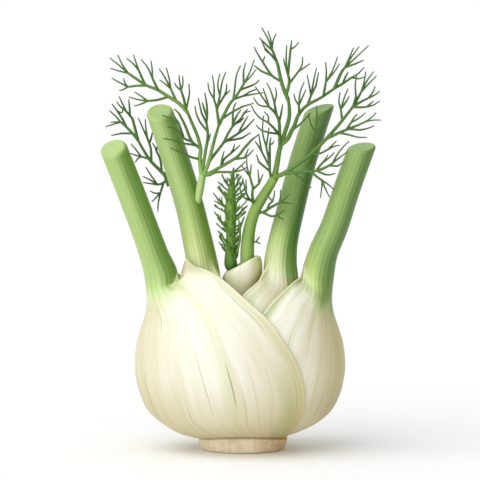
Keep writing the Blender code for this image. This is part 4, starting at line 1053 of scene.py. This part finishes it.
# a twig: depth of its end, radius, its course over the photograph, and the courses of the threads at its end
RIGHT_TWIGS = [
    (-15, 1.5, [(274, 177), (276.5, 163), (278.7, 150), (283.5, 134), (288.2, 118.2), (288.5, 107.7),
     (287.5, 100)], []),
    (-12, 1.05, [(287.5, 100), (282, 86.6), (279.3, 76), (277.2, 65.6), (275, 59.3), (271.5, 50)],
     [[(267, 39), (261.4, 29)], [(270, 40), (267.3, 32.3)], [(272.5, 42), (275.4, 35)]]),
    (-12, 0.6, [(272, 51.5), (265, 45)], [[(259.3, 39)]]),
    (-10, 0.7, [(280.7, 81.7), (271.6, 76), (262, 62)], [[(257, 54), (254, 48)], [(263.3, 60),
     (264.5, 57.2)]]),
    (-9, 0.6, [(272, 76.3), (261, 71.5)], [[(254.1, 66.2)]]),
    (-15, 0.6, [(276, 62), (270, 55)], [[(264, 48), (261, 41)], [(266, 52), (264, 50)]]),
    (-19, 0.85, [(287.7, 94), (288.4, 81.7), (285.5, 70)], [[(283.5, 64), (282.8, 59.3)], [(285.2, 56),
     (285.6, 46.6)]]),
    (-20, 0.65, [(287, 75), (288.5, 60), (289.5, 50)], [[(290.5, 41.7)], [(293.5, 48), (297.2, 43.8)]]),
    (-21, 0.65, [(288.3, 84), (297, 72)], [[(300.5, 66), (301.4, 58)], [(303, 68), (308, 64.5)]]),
    (-24, 0.95, [(278.9, 147), (279, 134), (278.2, 120.7), (274.6, 112.7), (268.4, 106.4)], [[(260.4, 94.8),
     (255, 86.8)], [(264.8, 94.8), (262.6, 88.6)], [(258.6, 104.5), (253.2, 97.5)]]),
    (-22, 0.7, [(275.5, 114.5), (273.7, 102.9)], [[(270.2, 91.2), (266.2, 83.2)], [(275.6, 93.9),
     (274.7, 87.9)]]),
    (-20, 0.55, [(278.4, 122), (280.5, 112)], [[(281.7, 104.2)]]),
    (-26, 0.75, [(278, 135), (273.7, 127.9), (267.5, 121.6)], [[(259.5, 117.1), (254.1, 110.9),
     (251.1, 105.2)], [(267.5, 115.4), (263.9, 111.3)]]),
    (-26, 0.6, [(277.3, 133.4), (268.4, 131.4)], [[(260.4, 128.7), (255.9, 124.3)]]),
    (-13, 1.25, [(280.8, 144), (287, 138), (290.5, 131), (293.3, 125.7), (297.8, 114.2), (306, 105.3),
     (320.7, 97), (333, 88.5)], []),
    (-15, 0.9, [(333, 88.5), (339.6, 73), (343, 68)], [[(348, 57), (351.2, 49)], [(350, 57), (356.8, 47.7)],
     [(354, 58), (365.9, 46.7)]]),
    (-15, 0.6, [(344, 67.5), (353, 64.5)], [[(361.3, 61)]]),
    (-11, 0.75, [(333, 88.5), (341, 84), (350, 77.9)], [[(356.5, 74), (362, 68)], [(357, 79),
     (362.5, 77.5)]]),
    (-11, 0.55, [(341, 84), (344, 77)], [[(346.6, 72.6)]]),
    (-19, 0.7, [(322, 96), (324.2, 82)], [[(324.5, 71), (323.8, 63)], [(331, 70), (335.4, 57.9)],
     [(332.5, 72), (337, 64.9)]]),
    (-9, 0.7, [(306.6, 105), (310, 96)], [[(308.8, 88), (306.3, 75.8)], [(313, 80), (315.4, 68.8)]]),
    (-9, 0.55, [(309.9, 97), (315, 86)], [[(317.5, 73.3)]]),
    (-18, 0.65, [(297.6, 113), (297.8, 105.2)], [[(294, 99), (293, 94)], [(299, 92), (302.8, 82.4)],
     [(301.8, 96), (304.5, 90)]]),
    (-15, 0.6, [(293.5, 131.5), (299.7, 123.2)], [[(306.7, 115.5), (309.5, 113)]]),
    (-14, 1.3, [(276, 175.5), (283, 172.5), (290.1, 167.7), (302.2, 158.9), (314.3, 148.7), (325.8, 137.2),
     (336, 125.7), (344.3, 115.5), (350.7, 107.2)], []),
    (-15, 0.8, [(350.7, 107.2), (355.2, 99.6), (359.2, 91.9)], [[(362, 82), (363.5, 72.3)], [(365.5, 80),
     (371.2, 72.3)], [(366.5, 84), (374, 76.5)]]),
    (-16, 0.65, [(351.5, 105.5), (353.9, 96.4)], [[(353.2, 85), (354.3, 76.5)]]),
    (-17, 0.7, [(351, 106), (361.5, 100.2), (366, 98)], [[(370.5, 92), (372.6, 86.6)], [(373, 94.5),
     (377, 91.2)]]),
    (-18, 0.65, [(351, 107), (358, 107), (364, 106.6)], [[(371, 104.7), (377, 101)], [(368.5, 103),
     (370.8, 101)]]),
    (-11, 0.7, [(340.5, 120), (339.9, 113), (339.5, 109)], [[(337.6, 101.5), (338.6, 92.6)], [(343, 97.7),
     (346.6, 89)]]),
    (-11, 0.55, [(341.8, 106.5), (344.5, 102)], [[(347.5, 96.4)]]),
    (-15, 0.6, [(304.5, 157), (308.5, 147.4), (311.8, 141), (315, 131.5)], [[(315.3, 117.4), (315.6, 106)],
     [(310.5, 125.7), (307.3, 113.6)]]),
    (-14, 0.6, [(310, 152), (318.8, 152.5), (326.5, 148.7)], [[(334.7, 140.4)], [(331.6, 146),
     (337.9, 144.5)]]),
    (-22, 0.85, [(325.2, 138.2), (336, 132.7), (345.6, 128.3), (355.2, 124.4)], [[(364, 120.6),
     (371.1, 119.3), (378.2, 119.3)], [(362.2, 121), (367.9, 117.4), (373, 112.3)]]),
    (-22, 0.6, [(344.3, 128.8), (348.8, 121.6)], [[(351.5, 117), (354.5, 113.6)], [(356.4, 117.4),
     (362.5, 112.3)]]),
    (-24, 0.6, [(346, 128.3), (357, 128.9)], [[(364, 127.6), (370.8, 125)]]),
    (-25, 0.6, [(337.9, 132.8), (345.6, 133.4)], [[(355.2, 135.9), (363.5, 136)]]),
    (-17, 1.0, [(282, 172.5), (288.8, 171.6), (302.9, 170.4), (315.6, 169.5)], []),
    (-17, 0.75, [(315.6, 169.5), (324.5, 165.9), (330.9, 162)], [[(338, 156.3), (345.6, 150.6)], [(336, 153),
     (341, 146.5), (347.2, 140.4)]]),
    (-18, 0.55, [(327.5, 165), (336, 164.6)], [[(341.8, 160.8)]]),
    (-16, 0.65, [(314.5, 169), (320.7, 162)], [[(324, 158), (326.5, 153.8)], [(328, 156.5), (332.8, 151.5)]]),
    (-18, 0.55, [(315.6, 170.3), (323.3, 172.8)], [[(328.4, 173.3), (333.5, 172)]]),
    (-18, 0.7, [(310, 170.5), (314.3, 174.2), (320.7, 178.7)], [[(327, 183), (332.2, 187.6)], [(320.5, 185),
     (319.2, 195.6)], [(323.5, 186), (327.8, 194.8)]]),
    (-16, 0.6, [(292, 171.6), (299.7, 176.7)], [[(303.5, 182.5), (309.9, 186.3)]]),
    (-16, 0.5, [(302.9, 170.4), (308, 167)], [[(311.8, 163.3)]]),
    (-17, 0.8, [(272, 180), (269.6, 171), (269.3, 160)], []),
    (-18, 0.6, [(269.3, 160.5), (269.3, 149.3), (269.3, 143)], [[(269.7, 140), (270.2, 136.8)], [(271.5, 143),
     (273.3, 140.4)]]),
    (-20, 0.6, [(269.2, 163), (265.7, 145.7)], [[(267.3, 135), (268.4, 127)], [(262.1, 131.4),
     (263, 115.4)]]),
    (-19, 0.6, [(269.2, 166), (261.2, 150.2)], [[(259.5, 140.4), (258.6, 134.1)], [(257.5, 144),
     (255, 140.4)]]),
    (-17, 0.6, [(269.2, 170), (258.6, 160.9)], [[(256.3, 153.7)]]),
    (-13, 0.85, [(253, 208), (252.3, 195.6), (252.8, 185)], []),
    (-12, 0.65, [(252.8, 186), (249.6, 175.2)], [[(245.6, 170), (241.6, 164.5)], [(247, 166), (246.5, 156.4)],
     [(250.6, 169), (251, 163.6)]]),
    (-14, 0.6, [(252.8, 188.5), (258.6, 182.3)], [[(262.6, 173.4)], [(258.4, 176), (257.7, 168.9)]]),
    (-12, 0.6, [(252.4, 203), (248.6, 197), (246, 191.3)], [[(246, 185), (246, 178.7)], [(244.3, 185),
     (242.5, 177)]]),
    (-12, 0.5, [(250.5, 200.5), (245, 197)], [[(240.7, 191.3), (240, 181)]]),
    (-13, 0.85, [(258, 214), (263.2, 211), (271, 206), (279.6, 200.8)], [[(280, 195), (280, 188.6)],
     [(285, 197), (288, 193)], [(286, 201.5), (291.5, 202)]]),
    (-14, 0.6, [(266.5, 208.5), (269, 203), (272, 200)], [[(273.7, 194), (274, 189.5)], [(269, 196),
     (267.2, 193)]]),
    (-12, 0.6, [(262.5, 212.5), (271, 215), (276, 214)], [[(281, 211), (283.5, 209)], [(280, 216.5),
     (282.7, 217.5)]]),
    (-5, 0.5, [(250.5, 243), (256, 241)], [[(259.5, 236)], [(260, 243)]]),
]
skin = frond_skin("right_frond_skin", [(0.0, "4c7429"), (0.35, "618b36"), (0.7, "8aae50"), (1.0, "a8c66e")])
lines, threads = grow_frond(RIGHT_STEM, RIGHT_TWIGS, 7, 0.6)
stalk = make_tubes("frond_right_stalk", [lines[0]], skin, 32)
frond_threads = [round_end(line) for line in lines[1:] + threads]
frond_right = make_tubes("frond_right_leaflets", frond_threads, skin, 10)
for piece in (stalk, frond_right):
    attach(piece, "root")
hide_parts("frond_right")


# Left frond
# A leaflet spray that grows from the right flank of the inner left stalk: a pale flared foot, then forked
# round stems and threads, all one living piece with its stalk.
LEFT_STEM = [
    (-22.6, -1.6, 119.5, 0.9, 1.0), (-21.9, -2.7, 124, 1.7, 1.0), (-20.9, -4.1, 128.4, 1.9, 1.0),
    (-20.2, -5.0, 132.4, 2.0, 1.0), (-19.2, -6.2, 137.0, 1.7, 0.9),
]
LEFT_TWIGS = [
    (-10, 1.25, [(203, 178), (201, 166), (200.1, 156.4), (201, 149.3), (197.9, 135.9), (192, 121.6),
     (188.3, 112.5)], []),
    (-1, 1.0, [(188.3, 112.5), (180, 103.7), (168.9, 96.5), (157.4, 89.6), (147, 85.6), (132, 75.8),
     (128.7, 73.5)], [[(120, 66), (110.9, 58.6)], [(123, 65), (118.9, 55.7)], [(120, 71.5), (111.5, 69)]]),
    (-6, 0.7, [(146, 84.4), (139.6, 70.7)], [[(134, 64), (128, 59.2)], [(137, 63), (134.7, 55.7)]]),
    (-12, 0.7, [(159, 90.2), (153.7, 78.7)], [[(149, 68), (142.8, 60.3)], [(153.5, 70), (152.5, 61.5)]]),
    (3, 0.7, [(147, 86.7), (136.7, 86.2), (128, 87.3)], [[(119, 82.5), (112.3, 78.7)], [(125, 83),
     (124, 78.7)], [(123, 90), (119.8, 90.8)]]),
    (-3, 0.75, [(177.5, 101), (171.2, 89)], [[(165, 77), (160, 69.5)], [(169.5, 78), (166.9, 68.4)],
     [(166, 84.5), (160.3, 80.4)]]),
    (-10, 0.7, [(168.9, 97.6), (158, 100), (148.8, 101)], [[(142, 96), (135.9, 92.2)], [(139, 99.5),
     (130.7, 97)], [(141, 104.5), (135.9, 105.7)]]),
    (-15, 0.75, [(188.3, 109.5), (184.5, 98.5), (182, 90.5)], [[(177.5, 86.5), (175.8, 83.3)], [(180.2, 79),
     (180, 75.8)], [(183.8, 84), (183.6, 76.8)]]),
    (-16, 0.6, [(188.5, 110), (188.9, 101)], [[(190.3, 93), (189.8, 84.1)]]),
    (-12, 0.8, [(198.3, 148.4), (192.5, 141), (185.4, 124.3), (180, 113.6)], [[(177, 110.5), (174.9, 109)]]),
    (-13, 0.65, [(192, 141.5), (184.5, 137.7), (180, 131.4)], [[(174, 127.5), (169.2, 126.6)]]),
    (-13, 0.55, [(184.6, 138), (181.5, 128), (179.5, 122.5)], [[(177, 118.5), (175.3, 115.9)], [(171, 118),
     (163.8, 115)]]),
    (-12, 0.65, [(196, 146), (191.6, 143.9), (180, 142.2)], [[(172, 139), (164.6, 138)]]),
    (-12, 0.65, [(199.8, 158.8), (191.6, 156.4), (185.4, 152.9)], [[(180, 151), (171.5, 147.2)]]),
    (-14, 0.95, [(203.9, 173), (204.1, 161), (205.9, 150.2), (207.7, 140.4), (208.1, 131.4), (206.8, 121.6)],
     []),
    (-15, 0.65, [(206.9, 122), (207.7, 113.6), (207.3, 104.6)], [[(206.3, 98), (205.4, 93)]]),
    (-13, 0.6, [(207.8, 131), (205.5, 128), (200.5, 121.6)], [[(197, 113.6), (195.6, 106)]]),
    (-17, 0.6, [(206.8, 122.5), (202.3, 112.7)], [[(200.5, 105), (199.2, 98.4)]]),
    (-12, 0.55, [(207.3, 117), (204.6, 109)], [[(202.8, 102.4)]]),
    (-13, 0.6, [(208, 142), (209.5, 138.5)], [[(210.8, 133.2)]]),
    (-14, 1.15, [(204.1, 176), (208.6, 162.7), (212.1, 149.3), (215.7, 135.9), (219.3, 124.3)], []),
    (-19, 0.85, [(219.3, 124.3), (217.9, 113.6), (217, 107.3)], []),
    (-20, 0.65, [(217, 107.3), (214.4, 98.4)], [[(214.6, 86.8), (213, 76.1)], [(210, 91), (208.6, 83.2)]]),
    (-21, 0.6, [(217.4, 110), (220.2, 95.7)], [[(218.3, 85), (220.2, 74.3)], [(222.6, 82), (226, 72.5)]]),
    (-18, 0.6, [(218.2, 106), (224.6, 95.7)], [[(226.6, 90), (226.9, 84.1)], [(227.5, 93), (230, 90.4)]]),
    (-7, 0.95, [(219.3, 124.3), (223.7, 115.4), (230, 103.7), (237.1, 94.8), (244.3, 83.2)], [[(247.5, 77),
     (250.5, 70.7), (254.1, 60.5)], [(249, 78.5), (255.9, 69.8)]]),
    (-8, 0.6, [(233.2, 99.8), (234.4, 92)], [[(236.5, 76), (240.3, 66.2)]]),
    (-4, 0.55, [(243.8, 84.1), (243.4, 76)], [[(243.8, 70), (245.6, 63.6)]]),
    (-3, 0.55, [(240.5, 90.2), (251.4, 85.9)], [[(256, 83.5), (259, 80.5)]]),
    (-3, 0.6, [(233.6, 99.4), (242.5, 96.4)], [[(251, 91.5), (257, 89.3)], [(253, 94.5), (263, 93)]]),
    (-11, 0.6, [(222, 118.9), (230.9, 112.7), (242.5, 106.4)], [[(253.2, 103.3)]]),
    (-6, 0.8, [(208.6, 163), (212.1, 157.3), (218.4, 149.3), (223.7, 142.1), (228.2, 133.2), (232.7, 126)],
     []),
    (-4, 0.6, [(232.7, 126), (232.9, 114)], [[(234, 107), (236.2, 102.9)]]),
    (-5, 0.55, [(232.8, 124), (236.6, 116)], [[(240.7, 110)]]),
    (-2, 0.6, [(232.7, 126), (240.7, 118.9)], [[(244, 113), (247.4, 109.6)], [(245, 113), (250, 111.3)]]),
    (-2, 0.5, [(235, 124.5), (240, 121.5)], [[(243.8, 118)]]),
    (-1, 0.75, [(223.3, 142.6), (225.5, 141.2), (237.1, 134.1), (246, 127.9)], [[(254.1, 119.4)]]),
    (-1, 0.55, [(238, 133), (242.5, 125.2)], [[(247.9, 116.2)]]),
    (0, 0.55, [(226.5, 140.8), (236, 139.2), (242, 138)], [[(250.5, 132.8)]]),
    (-9, 1.0, [(205.5, 174), (209.5, 172.5), (219.3, 167.1), (230, 160.9), (238, 155.5), (244.3, 147.5),
     (251.4, 139.5)], [[(258.6, 134.1)]]),
    (-8, 0.6, [(233.6, 158.6), (244.3, 157.3)], [[(249, 154), (253.2, 149.3)], [(246.8, 152),
     (248.3, 148.4)]]),
    (-7, 0.6, [(221, 166.2), (224.5, 158.5), (230.9, 152.9)], [[(233.5, 148), (234.5, 143.9)], [(235.5, 149),
     (239.8, 144.8)]]),
    (-9, 0.55, [(221, 166), (222, 159.1)], [[(224.2, 151)]]),
    (-10, 0.85, [(205, 175.5), (209.5, 174.3), (215.7, 171.6), (224, 171.3), (233.6, 171.2)], [[(242.5, 169),
     (247, 166.2)], [(240.5, 165.5), (245.2, 160.9)]]),
]
skin = frond_skin("left_frond_skin", [(0.0, "4c7429"), (0.35, "648e38"), (0.7, "93b95c"), (1.0, "bdd68c")])
lines, threads = grow_frond(LEFT_STEM, LEFT_TWIGS, 7)
frond_left = make_tubes("frond_left_leaflets", [round_end(line) for line in lines + threads], skin, 10)
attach(frond_left, "root")
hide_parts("frond_left")


# Left back frond
# The opposite spray, on the left flank of the same stalk, which shows behind it: thin forked stems and
# threads, one living piece.
BACK_STEM = [(-36.2, 7.6, 131.8, 1.0, 0.4), (-37.1, 7.8, 134.4, 1.1, 0.4), (-38.3, 8.0, 137.4, 0.9, 0.3)]
BACK_TWIGS = [
    (9, 1.0, [(164.4, 175.6), (158.9, 170.3), (150.2, 161.6), (143.5, 151.5), (137.5, 140.8)], []),
    (12, 0.8, [(137.5, 140.8), (132, 134), (125.4, 127.4), (120, 122.7)], [[(113.5, 115.5), (108.9, 111.4)],
     [(112, 125), (105.2, 127.2)], [(114.5, 122.6), (109.8, 122.9)]]),
    (11, 0.6, [(132, 134), (121, 134)], [[(110.9, 136)]]),
    (10, 0.65, [(126, 128), (121.5, 119), (117, 112)], [[(111.5, 104.5)], [(121.5, 113), (122.4, 108)]]),
    (5, 0.8, [(137.5, 140.8), (133.3, 123.5), (132, 118.9), (126.4, 112)], [[(122, 103), (119.2, 97)],
     [(119.5, 106), (116.9, 102.2)]]),
    (5, 0.6, [(130, 116), (129.5, 108)], [[(128.7, 99.9)]]),
    (10, 0.7, [(151.5, 162), (150.2, 148.8), (146.9, 138.8)], [[(141.5, 127), (137.8, 118.7)], [(145.5, 129),
     (144.9, 120)]]),
    (10, 0.6, [(149, 144), (151, 138)], [[(151.9, 132.8)]]),
    (13, 0.65, [(161.6, 172.9), (159.6, 160.2), (155.6, 151.5)], [[(154, 147), (152, 144)], [(156.5, 148),
     (156.9, 144.8)]]),
    (14, 0.65, [(148.2, 160), (140.2, 157.5)], [[(134.5, 150), (130, 144.8)], [(134, 156), (130, 154.2)],
     [(136.5, 160), (134.2, 163.6)]]),
    (11, 0.8, [(166.5, 180.5), (162.3, 184), (156.9, 185.7)], [[(150, 176), (145.2, 168.3)], [(149.5, 181),
     (142.5, 177.6)], [(149, 184.5), (142.5, 183.5)]]),
    (14, 0.7, [(163, 183.5), (159.6, 194.4)], [[(154, 194.5), (149.6, 192.4)], [(154.5, 199.5), (151.2, 203)],
     [(157.5, 204), (156.9, 213)]]),
]
skin = frond_skin("back_frond_skin", [(0.0, "456c28"), (0.4, "568032"), (1.0, "79a248")])
lines, threads = grow_frond(BACK_STEM, BACK_TWIGS, 11)
frond_back = make_tubes("frond_left_back_leaflets", [round_end(line) for line in lines + threads], skin, 10)
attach(frond_back, "root")
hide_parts("frond_left_back")


# Young frond
# A tight young frond beside the stalk in the heart: threads leave its soft axis by the golden angle, each
# forked near its end. Brighter than the grown fronds, and one living piece.
YOUNG_STEM = [
    (-3.8, 0.6, 82.5, 2.2, 0.0), (-3.8, 0.6, 89.4, 2.2, 0.0), (-5.0, 0.7, 92.6, 3.3, 0.0),
    (-5.3, 0.8, 95.5, 3.1, 0.1), (-5.2, 0.9, 100, 2.7, 0.4), (-5.0, 1.0, 107.8, 2.5, 0.6),
    (-5.2, 1.1, 116.0, 2.9, 0.6), (-5.1, 1.2, 123.0, 2.8, 0.6), (-4.7, 1.3, 130.0, 2.0, 0.5),
    (-4.2, 1.4, 136.0, 1.1, 0.4), (-3.7, 1.5, 141.2, 0.45, 0.3),
]
YOUNG_TWIGS = [
    (-4.5, 0.7, [(236, 266), (235, 256), (229.5, 248)], [[(221.5, 243)], [(222.5, 235.5)], [(228, 239)]]),
    (-5.5, 0.7, [(236, 266), (239.5, 241), (240, 228)], [[(238, 214)], [(244.5, 216)]]),
]
# threads of the frond: reach and limit to the right by height; forks: bend, start, end and radius
SPRIG_COUNT = 54
SPRIG_TURN = math.radians(137.5)
SPRIG_REACH = [(101, 5.0), (110, 6.6), (120, 8.2), (128, 8.4), (134, 6.6), (139, 4.2)]
SPRIG_RISE = 8.5
SPRIG_RIGHT_LIMIT = [(94, -1.8), (104, -1.2), (112, 0.0), (120, 2.8), (130, 10)]
SPRIG_FORKS = [(0.0, 0.0, 1.0, THREAD_RADIUS), (0.5, 0.45, 0.92, 0.42), (-0.5, 0.6, 1.05, 0.42)]


def grow_sprigs(stem):
    """The young frond's threads, with a short fork on each side near the end."""
    sprigs = []
    stations = [(row[2], row[0], row[1]) for row in stem]
    low, high = SPRIG_REACH[0][0], SPRIG_REACH[-1][0]
    for index in range(SPRIG_COUNT):
        tip_height = mix(low, high, index / (SPRIG_COUNT - 1.0))
        reach = float(along(SPRIG_REACH, tip_height)[0])
        rise = SPRIG_RISE * (0.75 + 0.25 * math.cos(index * 2.0))
        turn = index * SPRIG_TURN
        root_x, root_y = along(stations, tip_height - rise)
        root = np.array([root_x, root_y, tip_height - rise])
        for bend, start, end, radius in SPRIG_FORKS:
            course, radii = [], []
            for share in np.linspace(start, end, 5):
                away = turn + bend * (share - start)
                sideways = np.array([math.cos(away), math.sin(away) * 0.8, 0.0]) * reach
                outwards = share * (1.24 - 0.24 * share)
                upwards = np.array([0.0, 0.0, rise * share * (0.85 + 0.15 * share)])
                point = root + sideways * outwards + upwards
                point[0] = min(point[0], float(along(SPRIG_RIGHT_LIMIT, point[2])[0]))
                course.append(point)
                radii.append(mix(radius, TIP_RADIUS, share))
            sprigs.append(smooth_course(course, radii, np.full(len(course), 0.25)))
    return sprigs


skin = frond_skin("young_frond_skin", [(0.0, "5a8c2c"), (0.5, "7ca642"), (1.0, "9abf5c")], 120.0)
lines, threads = grow_frond(YOUNG_STEM, YOUNG_TWIGS, 7)
threads += grow_sprigs(YOUNG_STEM)
frond_young = make_tubes("frond_young_leaflets", [round_end(line) for line in lines + threads], skin, 10)
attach(frond_young, "root")
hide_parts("frond_young")


# Camera, floor and light
# The photograph looks at the bulb from a little above, against white, lit softly from the upper left. The
# floor is a plain pale sheet.
FLOOR_SIZE = 6.0
SOFT_LIGHT = 0.72
KEY_LIGHT = 1.5
KEY_DIRECTION = (-0.52, -0.42, 0.74)
KEY_WIDTH = math.radians(70)
TARGET = Vector((-0.0005, 0.0, 0.10525))
CAMERA_DISTANCE = 1.2
CAMERA_RISE = math.radians(4)
bpy.ops.mesh.primitive_plane_add(size=FLOOR_SIZE, location=(0.0, 0.0, -0.0002))
floor = bpy.context.object
floor.name = "studio_floor"
_, shader, material = new_skin("studio_floor_paint", 0.9)
shader.inputs["Base Color"].default_value = (0.95, 0.95, 0.95, 1.0)
floor.data.materials.append(material)

world = bpy.data.worlds.new("studio")
bpy.context.scene.world = world
world.use_nodes = True
tree = world.node_tree
background = tree.nodes["Background"].inputs
seen = add(tree, "ShaderNodeLightPath").outputs["Is Camera Ray"]
background["Color"].default_value = (1.0, 1.0, 1.0, 1.0)
feed(tree, background["Strength"], calc(tree, "MULTIPLY_ADD", seen, 1.0 - SOFT_LIGHT, SOFT_LIGHT))
bpy.context.scene.view_settings.view_transform = "Standard"

lamp = bpy.data.lights.new("key_light", "SUN")
lamp.energy = KEY_LIGHT
lamp.angle = KEY_WIDTH
key = bpy.data.objects.new("key_light", lamp)
key.location = (-0.6, -0.5, 0.9)
key.rotation_euler = Vector(KEY_DIRECTION).to_track_quat("Z", "Y").to_euler()
bpy.context.scene.collection.objects.link(key)

camera_data = bpy.data.cameras.new("camera")
camera_data.lens = 180.0
camera_data.sensor_width = 36.0
camera_data.clip_start = 0.01
camera = bpy.data.objects.new("camera", camera_data)
camera.location = TARGET + Vector((0.0, -math.cos(CAMERA_RISE), math.sin(CAMERA_RISE))) * CAMERA_DISTANCE
camera.rotation_euler = (TARGET - camera.location).to_track_quat("-Z", "Y").to_euler()
bpy.context.scene.collection.objects.link(camera)
bpy.context.scene.camera = camera
